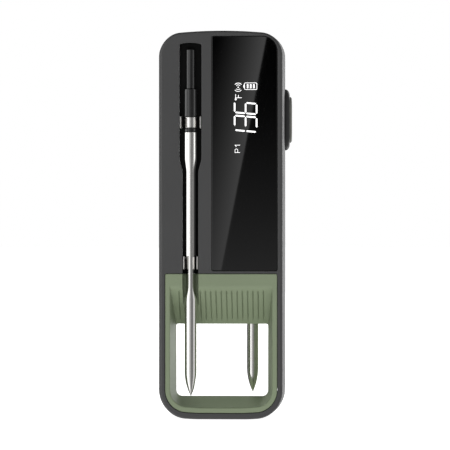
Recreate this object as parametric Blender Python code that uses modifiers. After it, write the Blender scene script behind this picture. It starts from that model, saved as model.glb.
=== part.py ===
"""Wireless meat thermometer: an upright charging and display dock with a probe in its front slot and a probe in its
rear slot. The dock stands on z = 0 with its front towards -Y. Lengths are given in millimetres and scaled to metres."""

import math

import bmesh
import bpy
from mathutils import Matrix, Vector

MM = 0.001
GAP = 0.3

# Dock body
BODY_HEIGHT = 152.0
BODY_DEPTH = 27.0
FACE_Y = BODY_DEPTH / 2
HALF_WIDTH_MIDDLE = 25.0
HALF_WIDTH_FACE = 23.9
TOP_BOW = 1.6
FOOT_BOW = 1.0
TOP_RADIUS = 8.0
FOOT_RADIUS = 10.0
EDGE_RADIUS = 0.9
WALL = 1.8
PARTING_Y = 2.5

# Window at the foot of the dock
RIM_HALF_WIDTH = 21.9
RIM_FOOT_Z = 2.5
RIM_TOP_Z = 56.9
RIM_FOOT_RADIUS = 7.8
RIM_THICKNESS = 1.5
MOUTH_HALF_WIDTH = 20.0
MOUTH_FOOT_Z = 4.5
LEDGE_FOOT_Z = 51.7
WAIST_HALF_WIDTH = 18.2
WAIST_FOOT_Z = 8.15
WAIST_TOP_Z = 36.6
TUNNEL_WALL = 1.6
GROOVES = 17
GROOVE_PITCH = 2.07
GROOVE_DEPTH = 0.35
GROOVE_WIDTH = 0.5
GROOVE_TOP_Z = 50.0
GROOVE_FOOT_Z = 38.2

# Probe slots: half widths above and below the taper, and the heights where it starts and ends
SLOT_X = 12.0
SLOT_TOP_Z = 147.3
SLOT_HALF_WIDE = 4.35
SLOT_HALF_NARROW = 3.125
TAPER_TOP_Z = 102.2
TAPER_FOOT_Z = 96.7
SLOT_FOOT_Z = 42.0
SLOT_FLOOR_Y = 7.0
TRAY_FOOT_Z = 57.1
TRAY_WALL = 0.8
TRAY_FRONT_Y = FACE_Y - WALL - GAP

# Probe: heights of its steps and radii
PROBE_AXIS_Y = FACE_Y - 3.5
PROBE_TOP_Z = 145.1
COLLAR_TOP_Z = 129.3
RING_TOP_Z = 118.2
RING_FOOT_Z = 114.2
SHAFT_TOP_Z = 112.4
NECK_TOP_Z = TAPER_FOOT_Z
NECK_FOOT_Z = 50.7
STEM_TOP_Z = 46.8
OGIVE_TOP_Z = 18.7
PROBE_FOOT_Z = 8.9
CAP_RADIUS = 1.7
PROBE_RADIUS = 2.4
NECK_RADIUS = 1.75
SPIGOT_RADIUS = 1.45
STEM_RADIUS = 2.42
TUBE_WALL = 0.4
JOINT_GAP = 0.15
PROBE_STEPS = 20

# Spring contacts
CONTACT_SHEET = 0.4
UPPER_CONTACT_Z = (113.9, 118.4)
LOWER_CONTACT_Z = (58.7, 63.6)

# Display
GLASS_X = (-3.6, 22.0)
GLASS_Z = (58.1, 149.8)
GLASS_THICKNESS = 1.0
RECESS_DEPTH = 1.3
LIT_X = (3.5, 16.0)
LIT_Z = (101.5, 134.0)

# Side button
BUTTON_Z = 117.7
BUTTON_TRAVEL = 0.8
BEZEL_HALF = (12.1, 4.7)
BEZEL_FACE_X = 26.8
NECK_HALF = (11.2, 4.0)
KEY_HALF = (9.1, 3.2)
KEY_FACE_X = 27.73
KEY_FLANGE_HALF = (10.2, 3.9)
KEY_FLANGE_X = (21.4, 22.6)
SWITCH_FACE_X = 19.2

# Charging socket in the left side
SOCKET_Y = -0.6
SOCKET_Z = (97.0, 102.9)
SOCKET_RADIUS = 1.5
SOCKET_WALL = 0.3
SOCKET_X = (-24.4, -17.4)

# Screws, magnets and boards
SCREW_X = 20.2
SCREW_Z = (66.0, 140.0)
BOSS_RADIUS = 2.4
SCREW_HOLE_RADIUS = 1.2
SCREW_RADIUS = 0.9
SCREW_HEAD_RADIUS = 1.7
MAGNET_RADIUS = 6.0
MAGNET_Z = (80.0, 125.0)
MAGNET_X = -11.0
PAD_X = (-17.6, -4.0)
PAD_Z = (60.0, 147.0)
BOARD_Y = (-3.4, -2.4)

DARK_GREY = (0.075, 0.075, 0.078, 1.0)
SAGE = (0.215, 0.262, 0.172, 1.0)
BLACK = (0.012, 0.012, 0.013, 1.0)
GLASS_BLACK = (0.008, 0.008, 0.009, 1.0)
STEEL = (0.72, 0.71, 0.69, 1.0)
OLIVE_GREY = (0.075, 0.078, 0.067, 1.0)
BOARD_GREEN = (0.02, 0.12, 0.05, 1.0)
NICKEL = (0.6, 0.6, 0.6, 1.0)
FOIL = (0.55, 0.56, 0.58, 1.0)
SPRING_STEEL = (0.75, 0.74, 0.72, 1.0)


def clear_scene():
    for old in list(bpy.data.objects):
        bpy.data.objects.remove(old)


def new_collection(name):
    group = bpy.data.collections.new(name)
    bpy.context.scene.collection.children.link(group)
    return group


def surface(name, colour, metallic=0.0, roughness=0.5):
    """A Principled material."""
    made = bpy.data.materials.new(name)
    made.use_nodes = True
    shader = made.node_tree.nodes["Principled BSDF"]
    shader.inputs["Base Color"].default_value = colour
    shader.inputs["Metallic"].default_value = metallic
    shader.inputs["Roughness"].default_value = roughness
    return made


def mesh_object(name, form, group):
    """A new object that holds a bmesh, shaded smooth with its sharp edges marked."""
    mesh = bpy.data.meshes.new(name)
    bmesh.ops.recalc_face_normals(form, faces=form.faces)
    form.to_mesh(mesh)
    form.free()
    mesh.shade_smooth()
    mesh.set_sharp_from_angle(angle=math.radians(35))
    made = bpy.data.objects.new(name, mesh)
    group.objects.link(made)
    return made


def loft(name, rings, group):
    """A closed body through rings of equally many points, with a flat face at each end."""
    form = bmesh.new()
    loops = [[form.verts.new(Vector(point) * MM) for point in ring] for ring in rings]
    count = len(loops[0])
    for near, far in zip(loops, loops[1:]):
        for i in range(count):
            j = (i + 1) % count
            form.faces.new((near[i], near[j], far[j], far[i]))
    form.faces.new(loops[0])
    form.faces.new(loops[-1])
    return mesh_object(name, form, group)


def box(name, low, high, group):
    """A box between two corners."""
    form = bmesh.new()
    bmesh.ops.create_cube(form, size=1.0)
    size = [(b - a) * MM for a, b in zip(low, high)]
    middle = [(a + b) / 2 * MM for a, b in zip(low, high)]
    bmesh.ops.scale(form, vec=size, verts=form.verts)
    bmesh.ops.translate(form, vec=middle, verts=form.verts)
    return mesh_object(name, form, group)


def rod(name, centre, radius, start, end, axis, group, sides=20):
    """A cylinder along Y or X: centre holds its other two coordinates."""
    form = bmesh.new()
    bmesh.ops.create_cone(
        form, cap_ends=True, segments=sides, radius1=radius * MM, radius2=radius * MM, depth=(end - start) * MM
    )
    middle = (start + end) / 2
    if axis == "Y":
        turn = Matrix.Rotation(math.pi / 2, 4, "X")
        place = Matrix.Translation(Vector((centre[0], middle, centre[1])) * MM)
    else:
        turn = Matrix.Rotation(math.pi / 2, 4, "Y")
        place = Matrix.Translation(Vector((middle, centre[0], centre[1])) * MM)
    bmesh.ops.transform(form, matrix=place @ turn, verts=form.verts)
    return mesh_object(name, form, group)


def plate(name, outline, start, end, group, axis="Y"):
    """A flat outline with thickness: a filled 2D curve, extruded, turned upright and made a welded mesh. The outline's
    points are (x, z) for a plate that faces Y and (y, z) for one that faces X."""
    curve = bpy.data.curves.new(name, "CURVE")
    curve.dimensions = "2D"
    curve.fill_mode = "BOTH"
    curve.extrude = (end - start) / 2 * MM
    spline = curve.splines.new("POLY")
    spline.points.add(len(outline) - 1)
    for point, (across, up) in zip(spline.points, outline):
        point.co = (across * MM, up * MM, 0.0, 1.0)
    spline.use_cyclic_u = True
    drawn = bpy.data.objects.new(name, curve)
    group.objects.link(drawn)
    middle = (start + end) / 2 * MM
    if axis == "Y":
        drawn.matrix_world = Matrix.Translation((0, middle, 0)) @ Matrix.Rotation(math.pi / 2, 4, "X")
    else:
        upright = Matrix(((0, 0, 1, 0), (1, 0, 0, 0), (0, 1, 0, 0), (0, 0, 0, 1)))
        drawn.matrix_world = Matrix.Translation((middle, 0, 0)) @ upright
    bpy.context.view_layer.update()
    graph = bpy.context.evaluated_depsgraph_get()
    mesh = bpy.data.meshes.new_from_object(drawn.evaluated_get(graph))
    place = drawn.matrix_world.copy()
    bpy.data.objects.remove(drawn)
    form = bmesh.new()
    form.from_mesh(mesh)
    bpy.data.meshes.remove(mesh)
    bmesh.ops.remove_doubles(form, verts=form.verts, dist=1e-6)
    bmesh.ops.dissolve_limit(form, angle_limit=math.radians(0.5), verts=form.verts, edges=form.edges)
    made = mesh_object(name, form, group)
    made.matrix_world = place
    return made


def turned(name, profile, place, group, material, steps=PROBE_STEPS):
    """A turned piece: its profile of (radius, height) runs down the outer side, and a Screw carries it round Z."""
    mesh = bpy.data.meshes.new(name)
    points = [(radius * MM, 0.0, height * MM) for radius, height in profile]
    edges = [(i, i + 1) for i in range(len(points) - 1)]
    if profile[0][0] > 0:
        edges.append((len(points) - 1, 0))
    mesh.from_pydata(points, edges, [])
    made = bpy.data.objects.new(name, mesh)
    group.objects.link(made)
    spin = made.modifiers.new("Spin", "SCREW")
    spin.steps = steps
    spin.render_steps = steps
    spin.use_merge_vertices = True
    spin.merge_threshold = 1e-6
    spin.use_smooth_shade = True
    made.location = Vector(place) * MM
    made.data.materials.append(material)
    return made


def as_cutter(tool):
    tool.hide_render = True
    tool.display_type = "WIRE"
    return tool


def boolean(target, tool, operation):
    """Cuts the tool from the target, or joins it to it."""
    step = target.modifiers.new(tool.name, "BOOLEAN")
    step.operation = operation
    step.solver = "EXACT"
    step.object = as_cutter(tool)


def cut(target, *tools):
    for tool in tools:
        boolean(target, tool, "DIFFERENCE")


def join(target, *tools):
    for tool in tools:
        boolean(target, tool, "UNION")


def bevel(target, width, segments=2, angle=40):
    step = target.modifiers.new("Round", "BEVEL")
    step.width = width * MM
    step.segments = segments
    step.limit_method = "ANGLE"
    step.angle_limit = math.radians(angle)


def arc(centre, radius, start, end, steps):
    """Points along an arc from one angle to another, in degrees."""
    turns = [math.radians(start + (end - start) * i / steps) for i in range(steps + 1)]
    return [(centre[0] + radius * math.cos(t), centre[1] + radius * math.sin(t)) for t in turns]


def rounded(x0, x1, z0, z1, radii, steps=6, straight=4):
    """A rectangle with rounded corners, anticlockwise from its lower right corner. The radii are those of the lower
    right, upper right, upper left and lower left corner; the foot and the top are divided so that they can bow."""
    right_foot, right_top, left_top, left_foot = radii
    points = arc((x1 - right_foot, z0 + right_foot), right_foot, -90, 0, steps)
    points += arc((x1 - right_top, z1 - right_top), right_top, 0, 90, steps)
    top = (x1 - right_top, x0 + left_top)
    points += [(top[0] + (top[1] - top[0]) * i / straight, z1) for i in range(1, straight)]
    points += arc((x0 + left_top, z1 - left_top), left_top, 90, 180, steps)
    points += arc((x0 + left_foot, z0 + left_foot), left_foot, 180, 270, steps)
    foot = (x0 + left_foot, x1 - right_foot)
    points += [(foot[0] + (foot[1] - foot[0]) * i / straight, z0) for i in range(1, straight)]
    return points


def bowed(points, half_width, foot_bow, top_bow, middle_z):
    """Bows an outline's top up and its foot down, with a flat stretch in the middle of the foot."""
    out = []
    for x, z in points:
        share = 1 - (x / half_width) ** 2
        z += top_bow * share if z > middle_z else -foot_bow * min(1.0, 1.2 * share)
        out.append((x, z))
    return out


def body_outline(half_width, inset):
    """The dock's outline, drawn in by an inset all round."""
    half = half_width - inset
    low = FOOT_BOW + inset
    high = BODY_HEIGHT - TOP_BOW - inset
    foot = FOOT_RADIUS - inset
    top = TOP_RADIUS - inset
    points = rounded(-half, half, low, high, (foot, top, top, foot), steps=7, straight=8)
    return bowed(points, half, FOOT_BOW, TOP_BOW, BODY_HEIGHT / 2)


def body_half_width(y):
    """The sides bulge from the face to the middle plane."""
    return HALF_WIDTH_MIDDLE - (HALF_WIDTH_MIDDLE - HALF_WIDTH_FACE) * (y / FACE_Y) ** 2


def ring_at(y, outline):
    return [(x, y, z) for x, z in outline]


def window_outline(half_width, foot, top, foot_radius, top_radius, bow=FOOT_BOW):
    """The window frame's outline, whose foot bows as the dock's does."""
    radii = (foot_radius, top_radius, top_radius, foot_radius)
    points = rounded(-half_width, half_width, foot + bow, top, radii, 5, 6)
    return bowed(points, half_width, bow, 0.0, (foot + top) / 2)


def slot_outline(margin, foot=SLOT_FOOT_Z):
    """A probe slot about its own axis: wide above, tapering to narrow, with a slightly arched top."""
    wide = SLOT_HALF_WIDE + margin
    narrow = SLOT_HALF_NARROW + margin
    top = SLOT_TOP_Z + margin
    side = [(narrow, foot - margin), (narrow, TAPER_FOOT_Z), (wide, TAPER_TOP_Z), (wide, top - 0.5)]
    return side + [(wide * 0.5, top - 0.1), (-wide * 0.5, top - 0.1)] + [(-x, z) for x, z in reversed(side)]


def shifted(outline, along):
    return [(x + along, z) for x, z in outline]


def stadium(half_length, half_width, steps=8):
    """An upright oblong with round ends, as (y, z) about the button's centre."""
    straight = half_length - half_width
    upper = arc((0, BUTTON_Z + straight), half_width, 0, 180, steps)
    lower = arc((0, BUTTON_Z - straight), half_width, 180, 360, steps)
    return upper + lower


def place_side(made, side):
    """Gives a piece or tool that was drawn for the front half a turn round Z when it is for the rear."""
    if side == "rear":
        made.matrix_world = Matrix.Rotation(math.pi, 4, "Z") @ made.matrix_world
    return made


# ---------------------------------------------------------------- window inserts


def tunnel_sections(margin, overrun=0.0):
    """Rings of the see-through tunnel from the front face to the waist. The top rolls over from the ledge into the
    ramp. A margin makes the outer side of the tunnel's wall; an overrun carries it straight on past both ends."""
    slope = (LEDGE_FOOT_Z - WAIST_TOP_Z) / FACE_Y
    slant = margin * math.hypot(1.0, slope)
    stations = [(0.0, LEDGE_FOOT_Z + 0.7), (0.5, LEDGE_FOOT_Z - 0.35), (1.4, None), (FACE_Y, None)]
    rings = []
    for depth, top in stations:
        share = depth / FACE_Y
        if top is None:
            top = LEDGE_FOOT_Z - slope * depth
        half = MOUTH_HALF_WIDTH + (WAIST_HALF_WIDTH - MOUTH_HALF_WIDTH) * share + margin
        foot = MOUTH_FOOT_Z + (WAIST_FOOT_Z - MOUTH_FOOT_Z) * share - margin
        radius = 6.0 + (2.3 - 6.0) * share + margin
        outline = window_outline(half, foot, top + slant, radius, 0.6 + margin, FOOT_BOW * (1 - share))
        rings.append(ring_at(-FACE_Y + depth, outline))
    if overrun:
        first = [(x, y - overrun, z) for x, y, z in rings[0]]
        last = [(x, y + overrun, z) for x, y, z in rings[-1]]
        return [first, *rings, last]
    rings[-1] = [(x, y - GAP / 2, z) for x, y, z in rings[-1]]
    return rings


def ramp_grooves(side, cutters):
    """The thumb grooves of the ramp, as one tool of parallel bars that lie along the ramp."""
    slope = (LEDGE_FOOT_Z - WAIST_TOP_Z) / FACE_Y
    rise = GROOVE_TOP_Z - GROOVE_FOOT_Z
    length = rise / slope * math.hypot(1.0, slope)
    middle_z = (GROOVE_TOP_Z + GROOVE_FOOT_Z) / 2
    middle_y = -FACE_Y + (LEDGE_FOOT_Z - middle_z) / slope
    form = bmesh.new()
    for i in range(GROOVES):
        x = (i - (GROOVES - 1) / 2) * GROOVE_PITCH
        made = bmesh.ops.create_cube(form, size=1.0)
        bmesh.ops.scale(form, vec=(GROOVE_WIDTH * MM, length * MM, 2 * GROOVE_DEPTH * MM), verts=made["verts"])
        turn = Matrix.Rotation(-math.atan(slope), 4, "X")
        place = Matrix.Translation(Vector((x, middle_y, middle_z)) * MM)
        bmesh.ops.transform(form, matrix=place @ turn, verts=made["verts"])
    return place_side(mesh_object(side + "_groove_bars", form, cutters), side)


def insert_channel(side, cutters):
    """The block that carries the probe's channel on through the window frame, from its ramp up to the tray's foot."""
    half = SLOT_HALF_NARROW + TRAY_WALL
    low = (-SLOT_X - half, -FACE_Y + RIM_THICKNESS - 0.3, SLOT_FOOT_Z - TRAY_WALL)
    high = (-SLOT_X + half, -SLOT_FLOOR_Y + TRAY_WALL, TRAY_FOOT_Z - GAP)
    return place_side(box(side + "_insert_channel", low, high, cutters), side)


def window_insert(side, parts, cutters, material):
    """The green frame of one half of the window: rim, ledge, ribbed ramp and drafted tunnel walls."""
    rim = window_outline(RIM_HALF_WIDTH, RIM_FOOT_Z, RIM_TOP_Z, RIM_FOOT_RADIUS, 0.6)
    flange = plate(side + "_window_insert", rim, -FACE_Y + 0.1, -FACE_Y + RIM_THICKNESS, parts)
    place_side(flange, side)
    flange.data.materials.append(material)
    walls = tunnel_sections(TUNNEL_WALL)
    walls[0] = [(x, -FACE_Y + 0.4, z) for x, _, z in walls[0]]
    outer = place_side(loft(side + "_tunnel_outer", walls, cutters), side)
    inner = place_side(loft(side + "_tunnel_inner", tunnel_sections(0.0, 1.0), cutters), side)
    join(flange, outer, insert_channel(side, cutters))
    slot = plate(side + "_insert_slot", shifted(slot_outline(0.0), -SLOT_X), -FACE_Y - 1, -SLOT_FLOOR_Y, cutters)
    cut(flange, inner, place_side(slot, side), ramp_grooves(side, cutters))
    return flange


# ---------------------------------------------------------------- housings


def outer_body(side, parts):
    """The outer form of one housing, from its rounded face edge to the parting plane."""
    sign = -1 if side == "front" else 1
    rings = []
    for turn in (90, 60, 30, 0):
        angle = math.radians(turn)
        y = FACE_Y - EDGE_RADIUS * (1 - math.sin(angle))
        inset = EDGE_RADIUS * (1 - math.cos(angle))
        rings.append(ring_at(sign * y, body_outline(body_half_width(y), inset)))
    for y in (9.0, 6.0, 3.4):
        rings.append(ring_at(sign * y, body_outline(body_half_width(y), 0.0)))
    last = PARTING_Y - GAP / 2 if side == "front" else PARTING_Y + GAP / 2
    if side == "front":
        rings.append(ring_at(0.0, body_outline(HALF_WIDTH_MIDDLE, 0.0)))
    rings.append(ring_at(last, body_outline(body_half_width(last), 0.0)))
    return loft(side + "_housing", rings, parts)


def inner_hollow(side, cutters):
    """The hollow of one housing, open at the parting plane."""
    sign = -1 if side == "front" else 1
    last = PARTING_Y + 1.0 if side == "front" else PARTING_Y - 1.0
    rings = []
    for y in (sign * (FACE_Y - WALL), sign * 6.0, last):
        rings.append(ring_at(y, body_outline(body_half_width(abs(y)), WALL)))
    return loft(side + "_hollow", rings, cutters)


def face_openings(side, cutters):
    """The openings of one face: for the window insert and for the probe slot."""
    rim = window_outline(RIM_HALF_WIDTH + 0.2, RIM_FOOT_Z - 0.2, RIM_TOP_Z + 0.2, RIM_FOOT_RADIUS + 0.2, 0.8)
    window = plate(side + "_window_opening", rim, -FACE_Y - 1, -FACE_Y + WALL + 1, cutters)
    slot = shifted(slot_outline(0.0, foot=RIM_TOP_Z - 2), -SLOT_X)
    channel = plate(side + "_slot_opening", slot, -FACE_Y - 1, -FACE_Y + WALL + 1, cutters)
    return place_side(window, side), place_side(channel, side)


def screw_places():
    return [(x, z) for z in SCREW_Z for x in (-SCREW_X, SCREW_X)]


def add_bosses(housing, side, cutters):
    """Joins the four screw bosses to a housing and drills them."""
    sign = -1 if side == "front" else 1
    inner = PARTING_Y - GAP / 2 if side == "front" else PARTING_Y + GAP / 2
    face = sign * (FACE_Y - WALL / 2)
    for i, (x, z) in enumerate(screw_places()):
        low, high = sorted((face, inner))
        join(housing, rod(f"{side}_boss_{i}", (x, z), BOSS_RADIUS, low, high, "Y", cutters))
    for i, (x, z) in enumerate(screw_places()):
        if side == "front":
            hole = rod(f"front_screw_hole_{i}", (x, z), SCREW_HOLE_RADIUS, -8.5, PARTING_Y + 1, "Y", cutters)
            cut(housing, hole)
        else:
            hole = rod(f"rear_screw_hole_{i}", (x, z), SCREW_HOLE_RADIUS, PARTING_Y - 1, FACE_Y + 1, "Y", cutters)
            well = rod(f"rear_screw_well_{i}", (x, z), SCREW_HEAD_RADIUS + 0.25, FACE_Y - 1.6, FACE_Y + 1, "Y", cutters)
            cut(housing, hole, well)


def button_opening(side, cutters):
    outline = stadium(NECK_HALF[0] + 0.25, NECK_HALF[1] + 0.25)
    return plate(side + "_button_opening", outline, HALF_WIDTH_MIDDLE - 4, HALF_WIDTH_MIDDLE + 2, cutters, "X")


def front_housing(parts, cutters, material):
    """The front shell: face with window, slot and display recess, left side with the charging socket's opening."""
    shell = outer_body("front", parts)
    shell.data.materials.append(material)
    cut(shell, inner_hollow("front", cutters))
    add_bosses(shell, "front", cutters)
    cut(shell, *face_openings("front", cutters))
    glass = display_outline(0.15)
    cut(shell, plate("glass_recess", glass, -FACE_Y - 1, -FACE_Y + RECESS_DEPTH, cutters))
    lit = rounded(LIT_X[0], LIT_X[1], LIT_Z[0], LIT_Z[1], (1, 1, 1, 1), 3, 1)
    cut(shell, plate("lit_opening", lit, -FACE_Y - 1, -FACE_Y + WALL + 1, cutters))
    mouth = socket_outline(SOCKET_RADIUS + GAP)
    cut(shell, plate("socket_opening", mouth, -HALF_WIDTH_MIDDLE - 2, -HALF_WIDTH_MIDDLE + 4, cutters, "X"))
    cut(shell, button_opening("front", cutters))
    return shell


def rear_housing(parts, cutters, material):
    """The rear shell: face with window, slot, grip pad recess and the screws' wells."""
    shell = outer_body("rear", parts)
    shell.data.materials.append(material)
    cut(shell, inner_hollow("rear", cutters))
    add_bosses(shell, "rear", cutters)
    cut(shell, *face_openings("rear", cutters))
    recess = rounded(PAD_X[0] - 0.2, PAD_X[1] + 0.2, PAD_Z[0] - 0.2, PAD_Z[1] + 0.2, (2.2,) * 4, 4, 1)
    cut(shell, plate("pad_recess", recess, FACE_Y - 1.0, FACE_Y + 1, cutters))
    cut(shell, button_opening("rear", cutters))
    return shell


# ---------------------------------------------------------------- slot trays and contacts


def contact_path(outer, inner, half_web_y):
    """Half of a clip's path about the slot's axis, from the flared lip back to the web, as (x, y)."""
    return [(-outer, -12.9), (-outer + 0.15, -12.4), (-inner, -10.6), (-outer + 0.35, -8.2), (-outer + 0.35, half_web_y)]


def spring_contact(name, side, heights, outer, parts, material):
    """A U-shaped leaf: two bowed arms against the slot's walls, joined by a web behind the tray. An open strip with
    thickness."""
    inner = outer - 0.75
    web_y = -SLOT_FLOOR_Y + 2 * TRAY_WALL
    half = contact_path(outer - CONTACT_SHEET / 2, inner + CONTACT_SHEET / 2, web_y)
    path = half + [(-x, y) for x, y in reversed(half)]
    form = bmesh.new()
    rows = [[form.verts.new(Vector((x - SLOT_X, y, z)) * MM) for z in heights] for x, y in path]
    for near, far in zip(rows, rows[1:]):
        form.faces.new((near[0], near[1], far[1], far[0]))
    strip = mesh_object(name, form, parts)
    strip.data.materials.append(material)
    sheet = strip.modifiers.new("Sheet", "SOLIDIFY")
    sheet.thickness = CONTACT_SHEET * MM
    sheet.offset = 0.0
    sheet.use_even_offset = True
    return place_side(strip, side)


def probe_tray(side, parts, cutters, material):
    """The black channel of a probe, behind the face and above the window frame, slit for the contacts' arms."""
    outer = shifted(slot_outline(TRAY_WALL, foot=TRAY_FOOT_Z + TRAY_WALL), -SLOT_X)
    tray = plate(side + "_probe_tray", outer, -TRAY_FRONT_Y, -SLOT_FLOOR_Y + TRAY_WALL, parts)
    place_side(tray, side)
    tray.data.materials.append(material)
    inner = shifted(slot_outline(0.0, foot=SLOT_FOOT_Z - 2), -SLOT_X)
    hollow = plate(side + "_tray_hollow", inner, -FACE_Y, -SLOT_FLOOR_Y, cutters)
    cut(tray, place_side(hollow, side))
    for heights, half in ((UPPER_CONTACT_Z, SLOT_HALF_WIDE), (LOWER_CONTACT_Z, SLOT_HALF_NARROW)):
        for hand in (-1, 1):
            middle = -SLOT_X + hand * (half - 0.35 - CONTACT_SHEET / 2 - 0.15)
            low = (middle - 0.45, -SLOT_FLOOR_Y - 0.6, heights[0] - 0.3)
            high = (middle + 0.45, -SLOT_FLOOR_Y + 2, heights[1] + 0.3)
            name = f"{side}_slit_{round(heights[0])}_{'left' if hand < 0 else 'right'}"
            cut(tray, place_side(box(name, low, high, cutters), side))
    return tray


def add_contacts(side, parts, material):
    spring_contact(side + "_upper_contact", side, UPPER_CONTACT_Z, SLOT_HALF_WIDE - 0.15, parts, material)
    spring_contact(side + "_lower_contact", side, LOWER_CONTACT_Z, SLOT_HALF_NARROW - 0.15, parts, material)


# ---------------------------------------------------------------- probes


def shaft_profile():
    """The steel tube: handle, shoulder, thin neck and lower stem, with a bore that follows it."""
    outer = [
        (PROBE_RADIUS - 0.15, SHAFT_TOP_Z),
        (PROBE_RADIUS, SHAFT_TOP_Z - 0.2),
        (PROBE_RADIUS, TAPER_TOP_Z + 0.8),
        (PROBE_RADIUS - 0.12, TAPER_TOP_Z - 0.9),
        (NECK_RADIUS + 0.12, NECK_TOP_Z + 0.8),
        (NECK_RADIUS, NECK_TOP_Z - 0.6),
        (NECK_RADIUS, NECK_FOOT_Z + 0.6),
        (NECK_RADIUS + 0.12, NECK_FOOT_Z - 0.6),
        (STEM_RADIUS - 0.1, STEM_TOP_Z + 0.5),
        (STEM_RADIUS, STEM_TOP_Z - 0.6),
        (STEM_RADIUS, OGIVE_TOP_Z + JOINT_GAP),
    ]
    bore = [
        (STEM_RADIUS - TUBE_WALL, OGIVE_TOP_Z + JOINT_GAP),
        (STEM_RADIUS - TUBE_WALL, STEM_TOP_Z),
        (NECK_RADIUS - TUBE_WALL, NECK_FOOT_Z),
        (NECK_RADIUS - TUBE_WALL, NECK_TOP_Z),
        (PROBE_RADIUS - TUBE_WALL, TAPER_TOP_Z),
        (PROBE_RADIUS - TUBE_WALL, SHAFT_TOP_Z),
    ]
    return outer + bore


def tip_profile():
    """A solid pointed tip whose flank is an arc of a circle, with a spigot that enters the tube."""
    length = OGIVE_TOP_Z - PROBE_FOOT_Z
    flank_radius = (STEM_RADIUS**2 + length**2) / (2 * STEM_RADIUS)
    spigot = STEM_RADIUS - TUBE_WALL - 0.1
    points = [(0.0, OGIVE_TOP_Z + 4.0), (spigot, OGIVE_TOP_Z + 4.0), (spigot, OGIVE_TOP_Z)]
    steps = 7
    for i in range(steps + 1):
        drop = length * i / steps
        radius = math.sqrt(flank_radius**2 - drop**2) - (flank_radius - STEM_RADIUS)
        points.append((max(radius, 0.0), OGIVE_TOP_Z - drop))
    return points


def probe(side, parts, steel, black, foil, board_green):
    """One wireless probe: end cap, collar with its spigot, charging ring, insulator, tube, tip, cell and board."""
    sign = -1 if side == "front" else 1
    place = (sign * SLOT_X, sign * PROBE_AXIS_Y, 0)
    name = side + "_probe_"
    cap_foot = COLLAR_TOP_Z + JOINT_GAP
    crown = [(0.0, PROBE_TOP_Z), (CAP_RADIUS - 0.6, PROBE_TOP_Z), (CAP_RADIUS - 0.17, PROBE_TOP_Z - 0.2)]
    crown += [(CAP_RADIUS, PROBE_TOP_Z - 0.7), (CAP_RADIUS, cap_foot), (0.0, cap_foot)]
    turned(name + "cap", crown, place, parts, black)
    spigot_foot = SHAFT_TOP_Z - 4.0
    collar = [(0.0, COLLAR_TOP_Z), (PROBE_RADIUS - 0.3, COLLAR_TOP_Z), (PROBE_RADIUS, COLLAR_TOP_Z - 0.3)]
    collar += [(PROBE_RADIUS, RING_TOP_Z + JOINT_GAP), (SPIGOT_RADIUS, RING_TOP_Z + JOINT_GAP)]
    collar += [(SPIGOT_RADIUS, spigot_foot), (0.0, spigot_foot)]
    turned(name + "collar", collar, place, parts, black)
    bore = SPIGOT_RADIUS + GAP
    ring = [(PROBE_RADIUS - 0.1, RING_TOP_Z), (PROBE_RADIUS, RING_TOP_Z - 0.15), (PROBE_RADIUS, RING_FOOT_Z + 0.15)]
    ring += [(PROBE_RADIUS - 0.1, RING_FOOT_Z), (bore, RING_FOOT_Z), (bore, RING_TOP_Z)]
    turned(name + "charge_ring", ring, place, parts, steel)
    top = RING_FOOT_Z - JOINT_GAP
    foot = SHAFT_TOP_Z + JOINT_GAP
    insulator = [(PROBE_RADIUS - 0.05, top), (PROBE_RADIUS - 0.05, foot), (bore, foot), (bore, top)]
    turned(name + "insulator", insulator, place, parts, black)
    turned(name + "shaft", shaft_profile(), place, parts, steel)
    turned(name + "tip", tip_profile(), place, parts, steel)
    cell_top = spigot_foot - 0.5
    cell_foot = TAPER_TOP_Z - 0.6
    cell = [(0.0, cell_top), (1.5, cell_top), (1.5, cell_foot), (0.0, cell_foot)]
    turned(name + "cell", cell, place, parts, foil, 12)
    x, y, _ = place
    low = (x - 0.95, y - 0.25, OGIVE_TOP_Z + 5.0)
    high = (x + 0.95, y + 0.25, cell_foot - 0.5)
    box(name + "sensor_board", low, high, parts).data.materials.append(board_green)


# ---------------------------------------------------------------- display, boards and button


def display_outline(margin):
    """The display glass: nearly square corners but for the one that follows the dock's upper right corner."""
    x0, x1 = GLASS_X[0] - margin, GLASS_X[1] + margin
    z0, z1 = GLASS_Z[0] - margin, GLASS_Z[1] + margin
    return rounded(x0, x1, z0, z1, (0.6, 5.9, 0.6, 0.6), 5, 1)


def display(parts, glass_black, board_green):
    glass = plate("display_glass", display_outline(0.0), -FACE_Y, -FACE_Y + GLASS_THICKNESS, parts)
    glass.data.materials.append(glass_black)
    low = (LIT_X[0] - 1.5, -FACE_Y + WALL + GAP, LIT_Z[0] - 2)
    high = (LIT_X[1] + 1.5, -FACE_Y + WALL + 2.2, LIT_Z[1] + 2)
    box("display_module", low, high, parts).data.materials.append(board_green)


def circuit_board(parts, material):
    """The main board, with a tab to the socket on one side and a tab to the button's switch on the other."""
    half = SCREW_X - BOSS_RADIUS - 0.6
    socket_tab = [(-half, 94.0), (-22.4, 94.0), (-22.4, 106.0), (-half, 106.0)]
    switch_tab = [(half, 124.0), (20.0, 124.0), (20.0, 110.0), (half, 110.0)]
    left = [(-half, 60.0), *socket_tab, (-half, 145.5)]
    right = [(half, 145.5), *switch_tab, (half, 60.0)]
    outline = list(reversed(left + right))
    plate("main_circuit_board", outline, BOARD_Y[0], BOARD_Y[1], parts).data.materials.append(material)


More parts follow.
